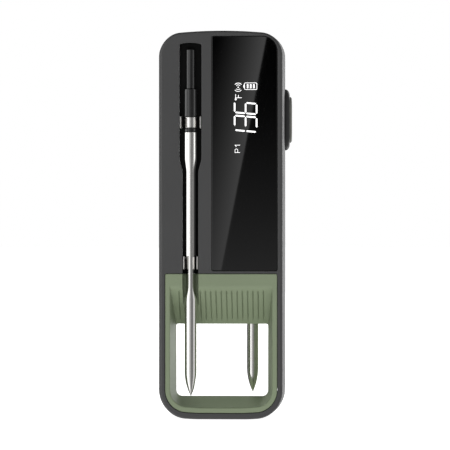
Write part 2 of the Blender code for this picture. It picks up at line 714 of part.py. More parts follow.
def inner_pieces(parts, foil, nickel, black):
    """What the dock holds: the cell, the sounder, the switch and the magnets."""
    battery = box("battery_cell", (-3.5, -8.8, 61.0), (16.8, -4.0, 96.0), parts)
    battery.data.materials.append(foil)
    bevel(battery, 0.8)
    rod("buzzer", (8.0, 142.0), 3.6, -8.4, -3.8, "Y", parts).data.materials.append(black)
    switch = box("tactile_switch", (16.4, -2.1, BUTTON_Z - 3), (SWITCH_FACE_X, 2.1, BUTTON_Z + 3), parts)
    switch.data.materials.append(black)
    for i, z in enumerate(MAGNET_Z):
        magnet = rod(f"magnet_{i + 1}", (MAGNET_X, z), MAGNET_RADIUS, 8.2, 11.3, "Y", parts, 24)
        magnet.data.materials.append(nickel)


def socket_outline(radius):
    """An upright oblong about the charging socket's middle, as (y, z)."""
    upper = arc((SOCKET_Y, SOCKET_Z[1]), radius, 0, 180, 6)
    return upper + arc((SOCKET_Y, SOCKET_Z[0]), radius, 180, 360, 6)


def charging_socket(parts, cutters, nickel):
    """The charging socket: an oblong metal shell, closed behind, around its tongue."""
    x0, x1 = SOCKET_X
    shell = plate("usb_c_socket", socket_outline(SOCKET_RADIUS), x0, x1, parts, "X")
    shell.data.materials.append(nickel)
    hollow = plate("socket_hollow", socket_outline(SOCKET_RADIUS - SOCKET_WALL), x0 - 1, x1 - 1, cutters, "X")
    low = (x0 + 0.4, SOCKET_Y - 0.35, SOCKET_Z[0] - 0.4)
    high = (x1 + 0.4, SOCKET_Y + 0.35, SOCKET_Z[1] + 0.4)
    cut(hollow, box("socket_tongue", low, high, cutters))
    cut(shell, hollow)


def grip_pad(parts, material):
    outline = rounded(PAD_X[0], PAD_X[1], PAD_Z[0], PAD_Z[1], (2.0,) * 4, 4, 1)
    plate("rear_grip_pad", outline, FACE_Y - 0.8, FACE_Y, parts).data.materials.append(material)


def housing_screws(parts, material):
    """Four pan-head screws, driven from the rear."""
    head_top = FACE_Y - 0.3
    for i, (x, z) in enumerate(screw_places()):
        profile = [(0.0, 1.0), (SCREW_HEAD_RADIUS - 0.4, 1.0), (SCREW_HEAD_RADIUS, 0.6), (SCREW_HEAD_RADIUS, 0.0)]
        profile += [(SCREW_RADIUS, 0.0), (SCREW_RADIUS, -18.5), (0.0, -19.3)]
        screw = turned(f"housing_screw_{i + 1}", profile, (x, head_top - 1.0, z), parts, material, 12)
        screw.rotation_euler = (-math.pi / 2, 0, 0)


def side_button(parts, cutters, grey, olive):
    """The bezel in the right side, the key that slides in it and the plunger that presses the switch."""
    bezel = plate("button_bezel", stadium(*BEZEL_HALF), HALF_WIDTH_MIDDLE + 0.2, BEZEL_FACE_X, parts, "X")
    bezel.data.materials.append(grey)
    bevel(bezel, 0.75)
    neck = plate("bezel_neck", stadium(*NECK_HALF), KEY_FLANGE_X[1] + GAP, HALF_WIDTH_MIDDLE + 0.5, cutters, "X")
    hole = plate("bezel_hole", stadium(KEY_HALF[0] + 0.25, KEY_HALF[1] + 0.25), 20.0, 30.0, cutters, "X")
    join(bezel, neck)
    cut(bezel, hole)
    inner_x, outer_x = KEY_FLANGE_X
    key = plate("button_cap", stadium(*KEY_HALF), inner_x + 0.2, KEY_FACE_X, parts, "X")
    key.data.materials.append(olive)
    bevel(key, 0.7)
    join(key, plate("key_flange", stadium(*KEY_FLANGE_HALF), inner_x, outer_x, cutters, "X"))
    rest = SWITCH_FACE_X + BUTTON_TRAVEL + GAP
    plunger = rod("button_plunger", (0.0, BUTTON_Z), 1.3, rest, inner_x - GAP, "X", parts)
    plunger.data.materials.append(olive)


def main():
    clear_scene()
    parts = new_collection("meat_thermometer")
    cutters = new_collection("cutters")
    grey = surface("dark_grey_plastic", DARK_GREY, 0.0, 0.5)
    sage = surface("sage_plastic", SAGE, 0.0, 0.55)
    black = surface("black_plastic", BLACK, 0.0, 0.4)
    glass = surface("black_glass", GLASS_BLACK, 0.0, 0.05)
    steel = surface("polished_steel", STEEL, 1.0, 0.18)
    olive = surface("button_rubber", OLIVE_GREY, 0.0, 0.6)
    board_green = surface("circuit_board", BOARD_GREEN, 0.0, 0.5)
    nickel = surface("nickel_plate", NICKEL, 1.0, 0.3)
    foil = surface("cell_foil", FOIL, 1.0, 0.4)
    spring_steel = surface("contact_plate", SPRING_STEEL, 1.0, 0.25)
    front_housing(parts, cutters, grey)
    rear_housing(parts, cutters, grey)
    for side in ("front", "rear"):
        window_insert(side, parts, cutters, sage)
        probe_tray(side, parts, cutters, black)
        add_contacts(side, parts, spring_steel)
        probe(side, parts, steel, black, foil, board_green)
    display(parts, glass, board_green)
    circuit_board(parts, board_green)
    inner_pieces(parts, foil, nickel, black)
    charging_socket(parts, cutters, nickel)
    grip_pad(parts, black)
    housing_screws(parts, nickel)
    side_button(parts, cutters, grey, olive)


main()
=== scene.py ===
"""Looks of a wireless meat thermometer: an upright charging dock with a black glass display, a sage green
window at its foot, a side button, and a steel probe in its front slot and in its rear slot. Lengths are in
metres, +Z is up."""

import math

import bmesh
import bpy
import numpy as np
from bpy.props import FloatProperty, FloatVectorProperty, IntProperty, PointerProperty
from bpy.types import Operator, Panel, PropertyGroup
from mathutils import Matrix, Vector


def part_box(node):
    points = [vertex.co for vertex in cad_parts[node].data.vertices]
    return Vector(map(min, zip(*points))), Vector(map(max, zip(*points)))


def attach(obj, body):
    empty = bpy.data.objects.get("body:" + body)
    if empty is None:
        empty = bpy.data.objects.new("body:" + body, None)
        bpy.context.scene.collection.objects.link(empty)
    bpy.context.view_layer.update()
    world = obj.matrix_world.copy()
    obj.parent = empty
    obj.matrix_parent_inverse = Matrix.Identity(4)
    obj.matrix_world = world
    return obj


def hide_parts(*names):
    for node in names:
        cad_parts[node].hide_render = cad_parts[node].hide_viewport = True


bl_info = {
    "name": "Meat Thermometer Looks",
    "version": (1, 0, 0),
    "blender": (4, 5, 0),
    "location": "3D View > Sidebar > Thermometer",
    "description": "Makes the visible pieces, finishes and stage of a wireless meat thermometer in its dock",
    "category": "Object",
}

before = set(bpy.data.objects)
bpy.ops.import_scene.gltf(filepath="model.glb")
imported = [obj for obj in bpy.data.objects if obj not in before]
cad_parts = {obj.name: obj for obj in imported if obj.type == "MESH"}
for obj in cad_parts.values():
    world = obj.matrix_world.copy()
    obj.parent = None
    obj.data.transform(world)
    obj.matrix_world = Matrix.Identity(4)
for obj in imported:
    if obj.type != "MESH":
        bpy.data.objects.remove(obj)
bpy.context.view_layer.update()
SIDES = ("front", "rear")


def corners(node):
    """Lowest and highest corner of a CAD node, as arrays."""
    low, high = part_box(node)
    return np.array(low), np.array(high)


BODY_HIGH = corners("front_housing")[1]
REAR_LOW, REAR_HIGH = corners("rear_housing")
FACE_Y = REAR_HIGH[1]
HALF_WIDTH = BODY_HIGH[0]
HEIGHT = BODY_HIGH[2]
RIM_LOW, RIM_HIGH = corners("front_window_insert")
GLASS_LOW, GLASS_HIGH = corners("display_glass")
BEZEL_LOW, BEZEL_HIGH = corners("button_bezel")
KEY_LOW, KEY_HIGH = corners("button_cap")
CAP_LOW, CAP_HIGH = corners("front_probe_cap")
COLLAR_LOW, COLLAR_HIGH = corners("front_probe_collar")
RING_HIGH = corners("front_probe_charge_ring")[1]
SHAFT_LOW, SHAFT_HIGH = corners("front_probe_shaft")
TIP_LOW, TIP_HIGH = corners("front_probe_tip")
PROBE_AXIS = (SHAFT_LOW + SHAFT_HIGH) / 2


def length(name, text, default):
    """A length in metres that a user can change."""
    kind = {"min": 0.0, "precision": 5, "subtype": "DISTANCE", "unit": "LENGTH"}
    return FloatProperty(name=name, description=text, default=default, **kind)


def share(name, text, default):
    """A number from 0 to 1."""
    return FloatProperty(name=name, description=text, default=default, min=0.0, max=1.0, subtype="FACTOR")


def paint(name, text, default):
    """A colour."""
    kind = {"size": 3, "min": 0.0, "max": 1.0, "subtype": "COLOR"}
    return FloatVectorProperty(name=name, description=text, default=default, **kind)


class DockSizes(PropertyGroup):
    """Sizes of the dock's shells and window that a user would change."""

    bulge: length("Side bulge", "How far the sides stand out at the middle plane", 0.0011)
    edge: length("Edge radius", "Radius of the edge round each face", 0.0009)
    wall: length("Wall", "Thickness of the shells", 0.0018)
    top_radius: length("Top corner radius", "Radius of the dock's upper corners", 0.008)
    foot_radius: length("Foot corner radius", "Radius of the dock's lower corners", 0.010)
    top_bow: length("Top bow", "How far the top edge bows up", 0.0016)
    foot_bow: length("Foot bow", "How far the foot bows down", 0.001)
    lip: length("Lip radius", "Radius of the edge of each opening", 0.0002)
    seam: length("Seam", "Gap between the window frame and the shell", 0.00015)
    mouth_half: length("Window half width", "Half the window's width at the face", 0.020)
    mouth_foot: length("Window foot", "Height of the window's foot at the face", 0.0045)
    ledge_foot: length("Ledge foot", "Height where the ledge meets the ramp's plane", 0.0517)
    waist_half: length("Waist half width", "Half the window's width at its waist", 0.0182)
    waist_foot: length("Waist foot", "Height of the window's foot at its waist", 0.00815)
    waist_top: length("Waist top", "Height of the window's top at its waist", 0.0366)
    roll: length("Ledge roll", "Radius where the ledge rolls over into the ramp", 0.0026)
    groove_count: IntProperty(
        name="Grooves", description="Number of thumb grooves", default=17, min=1, max=40
    )
    groove_pitch: length("Groove pitch", "Distance from one groove to the next", 0.00207)
    groove_depth: length("Groove depth", "Depth of a groove", 0.00045)
    groove_width: length("Groove width", "Width of a groove", 0.00062)


class SlotSizes(PropertyGroup):
    """Sizes of the probe slots and their spring contacts."""

    centre: length("Slot centre", "Distance of a slot's axis from the middle", 0.012)
    wide: length("Wide half width", "Half the slot's width round the handle", 0.00435)
    narrow: length("Narrow half width", "Half the slot's width below the taper", 0.003125)
    top: length("Slot top", "Height of the slot's top", 0.1473)
    taper_top: length("Taper top", "Height where the taper starts", 0.1022)
    taper_foot: length("Taper foot", "Height where the taper ends", 0.0967)
    floor: length("Slot floor", "Distance of the slot's floor from the middle plane", 0.007)
    leaf: length("Contact sheet", "Thickness of a contact's sheet", 0.0004)


class Finishes(PropertyGroup):
    """Colours and roughness of the finishes."""

    grey: paint("Housing grey", "Dark grey plastic of the shells", (0.034, 0.034, 0.0344))
    sage: paint("Sage green", "Green plastic of the window frame", (0.158, 0.193, 0.120))
    black: paint("Channel black", "Black plastic of the probe channels", (0.006, 0.006, 0.006))
    gloss_black: paint("Probe black", "Glossy black of the probe's cap", (0.006, 0.006, 0.006))
    glass: paint("Glass black", "Black behind the display glass", (0.0006, 0.0006, 0.00065))
    olive: paint("Key olive", "Olive grey rubber of the side key", (0.098, 0.099, 0.086))
    steel: paint("Steel", "Polished steel of the probes", (0.72, 0.71, 0.69))
    lit: paint("Lit white", "Colour of the lit figures", (1.0, 1.0, 1.0))
    grey_roughness: share("Grey roughness", "Roughness of the shells", 0.5)
    sage_roughness: share("Sage roughness", "Roughness of the window frame", 0.52)
    steel_roughness: share("Steel roughness", "Roughness of the probe's steel", 0.14)


class StageSettings(PropertyGroup):
    """The stage, its lights and its camera."""

    distance: length("Camera distance", "Distance from the camera to the object's middle", 0.8)
    azimuth: FloatProperty(
        name="Camera azimuth",
        description="Turn of the camera round the object",
        default=math.radians(2.0),
        subtype="ANGLE",
        unit="ROTATION",
    )
    aim_x: length("Aim across", "Where the camera looks, to the right of the middle", 0.00155)
    aim_z: length("Aim height", "Height that the camera looks at", 0.076)
    view_height: length("View height", "Height that the picture covers at the front face", 0.1758)
    ambient: FloatProperty(
        name="Ambient", description="Strength of the even white light", default=0.4, min=0.0
    )


# ---------------------------------------------------------------- meshes


def grid_faces(rings, count, closed=True):
    """Quads between successive rings of equally many points."""
    ring = np.arange(rings - 1)[:, None] * count
    step = np.arange(count if closed else count - 1)[None, :]
    following = (step + 1) % count
    quads = np.stack([ring + step, ring + following, ring + count + following, ring + count + step], axis=-1)
    return quads.reshape(-1, 4)


def make_object(name, points, faces, sharp=32.0):
    """A mesh object from points and faces, welded, with its faces turned outwards and its sharp edges
    marked."""
    mesh = bpy.data.meshes.new(name)
    mesh.from_pydata(points.tolist(), [], [list(face) for face in faces])
    form = bmesh.new()
    form.from_mesh(mesh)
    bmesh.ops.remove_doubles(form, verts=form.verts, dist=2e-7)
    bmesh.ops.dissolve_degenerate(form, edges=form.edges, dist=1e-7)
    bmesh.ops.recalc_face_normals(form, faces=form.faces)
    form.to_mesh(mesh)
    form.free()
    mesh.shade_smooth()
    mesh.set_sharp_from_angle(angle=math.radians(sharp))
    made = bpy.data.objects.new(name, mesh)
    bpy.context.scene.collection.objects.link(made)
    return made


def loft(name, rings, sharp=32.0):
    """A closed body through rings, an array of rings by points by three, with a flat cap on each end
    ring."""
    rings = np.asarray(rings, float)
    count = rings.shape[1]
    faces = grid_faces(rings.shape[0], count).tolist()
    faces.append(list(range(count - 1, -1, -1)))
    faces.append(list(range((rings.shape[0] - 1) * count, rings.shape[0] * count)))
    return make_object(name, rings.reshape(-1, 3), faces, sharp)


def turned(name, profile, axis, steps=96):
    """A turned body: each profile point (radius, height) becomes a circle about an upright axis (x, y). The
    profile starts and ends on the axis, or closes round a bore."""
    profile = np.asarray(profile, float)
    angle = np.linspace(0.0, 2 * math.pi, steps, endpoint=False)
    ring = np.stack([np.cos(angle), np.sin(angle), np.zeros(steps)], axis=-1)
    rings = profile[:, None, :1] * ring[None] + profile[:, None, 1:] * np.array([0.0, 0.0, 1.0])
    rings = rings + np.array([axis[0], axis[1], 0.0])
    return make_object(name, rings.reshape(-1, 3), grid_faces(len(profile), steps))


def settle(made, weighted=True):
    """Applies a piece's modifiers, so that its mesh is its final one. Weighted normals keep the flat faces
    flat."""
    if weighted:
        step = made.modifiers.new("Flat faces", "WEIGHTED_NORMAL")
        step.keep_sharp = True
        step.weight = 100
    bpy.context.view_layer.update()
    graph = bpy.context.evaluated_depsgraph_get()
    final = made.evaluated_get(graph)
    mesh = bpy.data.meshes.new_from_object(final, preserve_all_data_layers=True, depsgraph=graph)
    made.modifiers.clear()
    made.data = mesh
    mesh.name = made.name
    return made


def carve(made, cutters, joined=(), sharp=32.0):
    """Joins bodies to a piece, then cuts the cutters from it, and removes them all."""
    for tools, operation in ((joined, "UNION"), (cutters, "DIFFERENCE")):
        for tool in tools:
            step = made.modifiers.new(tool.name, "BOOLEAN")
            step.operation = operation
            step.solver = "EXACT"
            step.object = tool
    settle(made, weighted=False)
    for tool in (*joined, *cutters):
        bpy.data.objects.remove(tool)
    made.data.shade_smooth()
    made.data.set_sharp_from_angle(angle=math.radians(sharp))
    return settle(made)


def half_turn(points, side):
    """What is drawn for the front is turned by half a turn about Z for the rear."""
    return points if side == "front" else points * np.array([-1.0, -1.0, 1.0])


def arc(cx, cz, radius, start, end, steps):
    """Points along an arc between two angles in degrees: centre plus radius times cosine and sine."""
    angle = np.radians(np.linspace(start, end, steps + 1))
    return np.stack([cx + radius * np.cos(angle), cz + radius * np.sin(angle)], axis=-1)


def rounded(x0, x1, z0, z1, radii, steps=16, straight=24):
    """A rectangle with rounded corners, anticlockwise from the lower right corner. Radii: lower right,
    upper right, upper left, lower left. The top and the foot are divided evenly so that they can bow."""
    right_foot, right_top, left_top, left_foot = radii
    top = np.linspace(x1 - right_top, x0 + left_top, straight + 1)[1:-1]
    foot = np.linspace(x0 + left_foot, x1 - right_foot, straight + 1)[1:-1]
    return np.concatenate(
        [
            arc(x1 - right_foot, z0 + right_foot, right_foot, -90, 0, steps),
            arc(x1 - right_top, z1 - right_top, right_top, 0, 90, steps),
            np.stack([top, np.full(len(top), z1)], axis=-1),
            arc(x0 + left_top, z1 - left_top, left_top, 90, 180, steps),
            arc(x0 + left_foot, z0 + left_foot, left_foot, 180, 270, steps),
            np.stack([foot, np.full(len(foot), z0)], axis=-1),
        ]
    )


def bowed(points, half, foot_bow, top_bow, middle):
    """Bows the top up by a parabola across the width, and the foot down with a flat stretch in its
    middle."""
    out = points.copy()
    part = 1 - (points[:, 0] / half) ** 2
    out[:, 1] += np.where(points[:, 1] > middle, top_bow * part, -foot_bow * np.minimum(1.0, 1.2 * part))
    return out


def at_depth(outline, y):
    """An outline (x, z) as a ring at a depth y."""
    return np.stack([outline[:, 0], np.broadcast_to(y, len(outline)), outline[:, 1]], axis=-1)


def body_outline(sizes, y, inset):
    """The dock's outline at a depth: its sides bulge by a parabola from the face to the middle plane."""
    half = HALF_WIDTH - sizes.bulge * (y / FACE_Y) ** 2 - inset
    foot, top = sizes.foot_radius - inset, sizes.top_radius - inset
    low, high = sizes.foot_bow + inset, HEIGHT - sizes.top_bow - inset
    points = rounded(-half, half, low, high, (foot, top, top, foot))
    return bowed(points, half, sizes.foot_bow, sizes.top_bow, HEIGHT / 2)


def window_outline(half, foot, top, foot_radius, top_radius, bow):
    """A rounded window of a half width, between a foot that bows down and a straight top."""
    radii = (foot_radius, top_radius, top_radius, foot_radius)
    points = rounded(-half, half, foot + bow, top, radii, 14)
    return bowed(points, half, bow, 0.0, (foot + top) / 2)


def smooth(t):
    """0 below 0, 1 above 1, and 3t^2 - 2t^3 between."""
    t = np.clip(t, 0.0, 1.0)
    return t * t * (3 - 2 * t)


def taper(slot, height):
    """Half the slot's width at a height: narrow at the taper's foot, wide at its top, and smooth
    between."""
    middle = (height - slot.taper_foot) / (slot.taper_top - slot.taper_foot)
    return slot.narrow + (slot.wide - slot.narrow) * smooth(0.5 + (middle - 0.5) * 0.86)


def slot_outline(slot, foot, margin=0.0):
    """A probe slot: its half width goes smoothly from wide to narrow over the taper, and its top is
    slightly arched with small round corners."""
    height = np.concatenate([[foot], np.linspace(slot.taper_foot - 0.0012, slot.taper_top + 0.0012, 40)])
    wide = slot.wide + margin
    arch, radius = 0.0004, 0.0007
    corner = arc(wide - radius, slot.top + margin - arch - radius, radius, 0, 90, 6)
    across = np.linspace(wide - radius, -(wide - radius), 13)[1:-1]
    crown = np.stack([across, slot.top + margin - arch * (across / wide) ** 2], axis=-1)
    right = np.concatenate([np.stack([taper(slot, height) + margin, height], axis=-1), corner])
    left = right[::-1] * np.array([-1.0, 1.0])
    return np.concatenate([right, crown, left]) - np.array([slot.centre, 0.0])


def rectangle(x0, x1, z0, z1):
    """The four corners of a rectangle, anticlockwise."""
    return np.array([[x0, z0], [x1, z0], [x1, z1], [x0, z1]])


def slab(name, outline, *depths):
    """An outline carried through the given depths."""
    return loft(name, np.array([at_depth(outline, y) for y in depths]))


def soft_plate(outline_at, face, back, edge, steps=6):
    """Rings of a plate whose face has a rounded edge: a quarter circle in from the outline, then straight
    to the back. outline_at gives the outline for a margin."""
    turn = np.linspace(0.0, math.pi / 2, steps)
    inwards = math.copysign(edge, back - face)
    depths = np.concatenate([face + inwards * (1 - np.cos(turn)), [back]])
    margins = np.concatenate([-edge * (1 - np.sin(turn)), [0.0]])
    return np.array([at_depth(outline_at(margin), y) for y, margin in zip(depths, margins)])


def opening(name, outline_at, deepest, lip, side):
    """A cutter for an opening of a face: its outline shrinks along a quarter circle from the lip's radius
    to nothing, then runs straight to the deepest point. outline_at gives the outline for a margin."""
    turn = np.linspace(0.0, math.pi / 2, 5)
    depths = np.concatenate([[-0.002], lip * (1 - np.cos(turn)), [deepest]])
    margins = np.concatenate([[lip], lip * (1 - np.sin(turn)), [0.0]])
    rings = [at_depth(outline_at(margin), -FACE_Y + depth) for depth, margin in zip(depths, margins)]
    return loft(name, half_turn(np.array(rings), side))


# ---------------------------------------------------------------- finishes


class Wire:
    """One output of a shader node. Arithmetic on it adds Math nodes, and numbers alone stay numbers."""

    def __init__(self, tree, socket):
        self.tree = tree
        self.socket = socket

    def math(self, operation, *others):
        return self.tree.node("ShaderNodeMath", {"operation": operation}, [self, *others])

    def __add__(self, other):
        return self.math("ADD", other)

    def __sub__(self, other):
        return self.math("SUBTRACT", other)

    def __rsub__(self, other):
        return self.tree.node("ShaderNodeMath", {"operation": "SUBTRACT"}, [other, self])

    def __mul__(self, other):
        return self.math("MULTIPLY", other)

    def __truediv__(self, other):
        return self.math("DIVIDE", other)

    __radd__ = __add__
    __rmul__ = __mul__

    def power(self, other):
        return self.math("POWER", other)

    def absolute(self):
        return self.math("ABSOLUTE")

    def between(self, low, high):
        """0 at low, 1 at high, smooth between."""
        inputs = {"Value": self, "From Min": low, "From Max": high}
        return self.tree.node("ShaderNodeMapRange", {"interpolation_type": "SMOOTHSTEP"}, inputs)


class Tree:
    """A shader tree in the making, to which node() adds any node."""

    def __init__(self, owner):
        owner.use_nodes = True
        self.nodes = owner.node_tree.nodes
        self.links = owner.node_tree.links

    def node(self, kind, settings=None, inputs=(), output=0):
        made = self.nodes.new(kind)
        for key, value in (settings or {}).items():
            setattr(made, key, value)
        pairs = inputs.items() if isinstance(inputs, dict) else enumerate(inputs)
        for key, value in pairs:
            self.put(made.inputs[key], value)
        return Wire(self, made.outputs[output])

    def put(self, socket, value):
        if isinstance(value, Wire):
            self.links.new(value.socket, socket)
        else:
            socket.default_value = value


class Finish(Tree):
    """A material in the making, on Object coordinates. dress() links values to its Principled shader."""

    def __init__(self, name):
        self.material = bpy.data.materials.new(name)
        super().__init__(self.material)
        self.shader = self.nodes["Principled BSDF"]
        self.place = self.node("ShaderNodeTexCoord", output="Object")

    def stretched(self, scale):
        """Object coordinates, scaled along each axis."""
        return self.node("ShaderNodeMapping", {}, {"Vector": self.place, "Scale": scale})

    def axis(self, letter):
        """One Object coordinate: X, Y or Z."""
        return self.node("ShaderNodeSeparateXYZ", {}, [self.place], letter)

    def noise(self, scale, detail=3.0, roughness=0.5, where=None):
        inputs = {"Vector": where or self.place, "Scale": scale, "Detail": detail, "Roughness": roughness}
        return self.node("ShaderNodeTexNoise", {}, inputs, 0)

    def mix(self, factor, first, second):
        """Colours mixed by a factor. Sockets 0, 6 and 7 are the factor and the two colours, and output 2 is
        a colour."""
        first, second = (value if isinstance(value, Wire) else (*value, 1.0) for value in (first, second))
        return self.node("ShaderNodeMix", {"data_type": "RGBA"}, {0: factor, 6: first, 7: second}, 2)

    def bump(self, height, strength, distance):
        inputs = {"Strength": strength, "Distance": distance, "Height": height}
        return self.node("ShaderNodeBump", {}, inputs)

    def glow(self, strength):
        """Makes the material a plain white emitter."""
        emission = self.node("ShaderNodeEmission", {}, {"Strength": strength})
        self.put(self.nodes["Material Output"].inputs["Surface"], emission)
        return self.material

    def dress(self, **values):
        """Puts values on the Principled shader's sockets, whose names have _ for a space."""
        for name, value in values.items():
            self.put(self.shader.inputs[name.replace("_", " ")], value)
        return self.material


def scaled(colour, by):
    """A colour times a number, at most white."""
    return tuple(min(1.0, channel * by) for channel in colour)


def moulded_plastic(name, colour, roughness, grain=0.00006, specular=0.5):
    """Moulded plastic: a fine spark-eroded grain, faint flow marks in its colour, and hand-polished
    patches."""
    made = Finish(name)
    flow = made.noise(28.0, 4.0)
    speck = made.noise(2600.0, 2.0, 0.6)
    base = made.mix(flow.between(0.3, 0.7), scaled(colour, 0.95), scaled(colour, 1.05))
    tone = made.mix((speck - 0.5) * 0.5 + 0.5, scaled(colour, 0.82), scaled(colour, 1.2))
    shade = made.mix(0.35, base, tone)
    handled = made.noise(45.0, 5.0, 0.6).between(0.42, 0.72)
    grainy = made.bump(made.noise(4200.0, 3.0, 0.65), 0.32, grain)
    rough = roughness + (speck - 0.5) * 0.12 - handled * 0.06
    return made.dress(Base_Color=shade, Roughness=rough, Normal=grainy, Specular_IOR_Level=specular)


def polished_steel(name, colour, roughness):
    """Turned and polished steel: hair-fine rings across the length, soft smudges and a faint warm stain at
    the tip."""
    made = Finish(name)
    rings = made.noise(1.0, 2.0, 0.5, made.stretched((60.0, 60.0, 9000.0)))
    drawn = made.noise(1.0, 3.0, 0.6, made.stretched((2200.0, 2200.0, 40.0)))
    smudge = made.noise(120.0, 4.0, 0.6).between(0.45, 0.75)
    low = (made.axis("Z") - TIP_LOW[2]).between(0.05, 0.0)
    stain = made.noise(260.0, 5.0, 0.7).between(0.5, 0.8) * low
    base = made.mix(stain * 0.25, colour, (0.55, 0.47, 0.38))
    shade = made.mix(smudge * 0.08, base, scaled(colour, 0.8))
    rough = roughness + (rings - 0.5) * 0.1 + smudge * 0.05 + stain * 0.08
    fine = made.bump(rings + drawn * 0.6, 0.05, 0.00002)
    return made.dress(Base_Color=shade, Metallic=1.0, Roughness=rough, Normal=fine)


def gloss_ceramic(name, colour):
    """Glossy black: deep and even, with finger smudges and a few hairline scratches in its gloss."""
    made = Finish(name)
    smudge = made.noise(150.0, 4.0, 0.6).between(0.45, 0.7)
    scratch = made.noise(1.0, 1.0, 0.5, made.stretched((900.0, 900.0, 120.0))).between(0.66, 0.7)
    shade = made.mix(smudge * 0.5, colour, scaled(colour, 1.6))
    rough = 0.16 + smudge * 0.07 + scratch * 0.1
    fine = made.bump(made.noise(1800.0, 2.0), 0.04, 0.00002)
    return made.dress(Base_Color=shade, Roughness=rough, Normal=fine)


def display_black(name, colour):
    """Black glass: mirror smooth, with a trace of dust and wiped finger marks."""
    made = Finish(name)
    wipe = made.noise(1.0, 4.0, 0.6, made.stretched((60.0, 60.0, 18.0))).between(0.5, 0.8)
    dust = made.noise(3400.0, 1.0, 0.4).between(0.73, 0.78)
    shade = made.mix(dust * 0.3, colour, (0.02, 0.02, 0.02))
    return made.dress(Base_Color=shade, Roughness=0.015 + wipe * 0.02 + dust * 0.15)


def lit_figures(name, colour, strength):
    """Lit display figures: white, with a faint random unevenness in their glow."""
    made = Finish(name)
    even = made.noise(700.0, 2.0).between(0.2, 0.6)
    glow = made.mix(even, scaled(colour, 0.86), colour)
    shade = made.mix(even, (0.5, 0.5, 0.5), (0.6, 0.6, 0.6))
    return made.dress(Base_Color=shade, Emission_Color=glow, Emission_Strength=strength, Roughness=0.4)


def plated_metal(name, colour, roughness):
    """Plated sheet metal: rolling marks along its length and dull spots."""
    made = Finish(name)
    rolled = made.noise(1.0, 3.0, 0.6, made.stretched((5000.0, 5000.0, 300.0)))
    dull = made.noise(500.0, 3.0).between(0.5, 0.8)
    shade = made.mix(dull * 0.3, colour, scaled(colour, 0.7))
    fine = made.bump(rolled, 0.08, 0.00002)
    rough = roughness + dull * 0.12 + (rolled - 0.5) * 0.1
    return made.dress(Base_Color=shade, Metallic=1.0, Roughness=rough, Normal=fine)


def soft_rubber(name, colour, roughness):
    """Soft elastomer: a dry matte skin with dust in its grain and a faint sheen where a thumb presses
    it."""
    made = Finish(name)
    grain = made.noise(3000.0, 3.0, 0.7)
    dust = made.noise(420.0, 5.0, 0.7).between(0.52, 0.85)
    shade = made.mix(dust * 0.4, colour, scaled(colour, 1.5))
    rough = roughness + (grain - 0.5) * 0.15 - made.noise(70.0).between(0.45, 0.7) * 0.08
    return made.dress(Base_Color=shade, Roughness=rough, Normal=made.bump(grain, 0.3, 0.00006))


def solder_mask(name):
    """Green circuit board with the faint pattern of its tracks."""
    made = Finish(name)
    bricks = {"Vector": made.stretched((900.0, 1.0, 500.0)), "Scale": 1.0}
    tracks = made.node("ShaderNodeTexBrick", {}, bricks, "Fac")
    shade = made.mix(tracks, (0.012, 0.09, 0.035), (0.03, 0.16, 0.06))
    return made.dress(Base_Color=shade, Roughness=0.35 + made.noise(900.0) * 0.15)


def cell_foil(name):
    """Crinkled aluminium pouch foil."""
    made = Finish(name)
    crinkle = made.noise(500.0, 5.0, 0.7)
    shade = made.mix(crinkle, (0.5, 0.51, 0.53), (0.62, 0.63, 0.65))
    fine = made.bump(crinkle, 0.4, 0.0001)
    return made.dress(Base_Color=shade, Metallic=1.0, Roughness=0.32 + crinkle * 0.15, Normal=fine)


# ---------------------------------------------------------------- dock shells


SEAM_CHAMFER = 0.00012
BOSS_RADIUS = 0.0024
HOLE_RADIUS = 0.0012
WELL = ((0.00215, 0.001), (0.00215, 0.0), (0.00195, -0.0002), (0.00195, -0.0016))
REBATE_INSET = 0.00088
TONGUE_INSET = 0.00095
TONGUE_REACH = 0.0014
GLASS_RECESS = 0.0013
GLASS_CORNER = 0.0006
GLASS_DOCK_CORNER = 0.0059
RIM_CORNER = 0.0078
RIM_TOP_CORNER = 0.0006
NECK_OPENING = (0.01145, 0.00425)
LIT_OPENING = (0.0035, 0.016, 0.1015, 0.134)


def shell_rings(sizes, side, last):
    """Rings of a shell's outer form: a quarter circle round the face's edge, then stations to the parting
    plane, where a small chamfer softens the seam."""
    sign = -1 if side == "front" else 1
    turn = np.linspace(math.pi / 2, 0.0, 9)
    depth = FACE_Y - sizes.edge * (1 - np.sin(turn))
    drawn_in = sizes.edge * (1 - np.cos(turn))
    stations = np.linspace(FACE_Y - sizes.edge - 0.0015, sign * last + SEAM_CHAMFER, 9)
    ys = np.concatenate([depth, stations, [sign * last]])
    insets = np.concatenate([drawn_in, np.zeros(9), [SEAM_CHAMFER]])
    return np.array([at_depth(body_outline(sizes, y, gap), sign * y) for y, gap in zip(ys, insets)])


def hollow(sizes, side, last):
    """The inside of a shell, drawn in by its wall, to a depth past the parting plane."""
    sign = -1 if side == "front" else 1
    stations = np.linspace(FACE_Y - sizes.wall, sign * last, 7)
    rings = [at_depth(body_outline(sizes, y, sizes.wall), sign * y) for y in stations]
    return loft(side + "_hollow", np.array(rings))


def collar_ring(sizes, name, start, end, outer, inner):
    """A closed frame between two insets of the dock's outline, from one depth to another."""
    depth = (start, end, end, start)
    insets = (outer, outer, inner, inner)
    rings = np.array([at_depth(body_outline(sizes, y, gap), y) for y, gap in zip(depth, insets)])
    rings = np.concatenate([rings, rings[:1]])
    return make_object(name, rings.reshape(-1, 3), grid_faces(5, rings.shape[1]).tolist())


def circle(x, z, radius, steps=40):
    """Points round a circle."""
    angle = np.linspace(0.0, 2 * math.pi, steps, endpoint=False)
    return np.stack([x + radius * np.cos(angle), z + radius * np.sin(angle)], axis=-1)


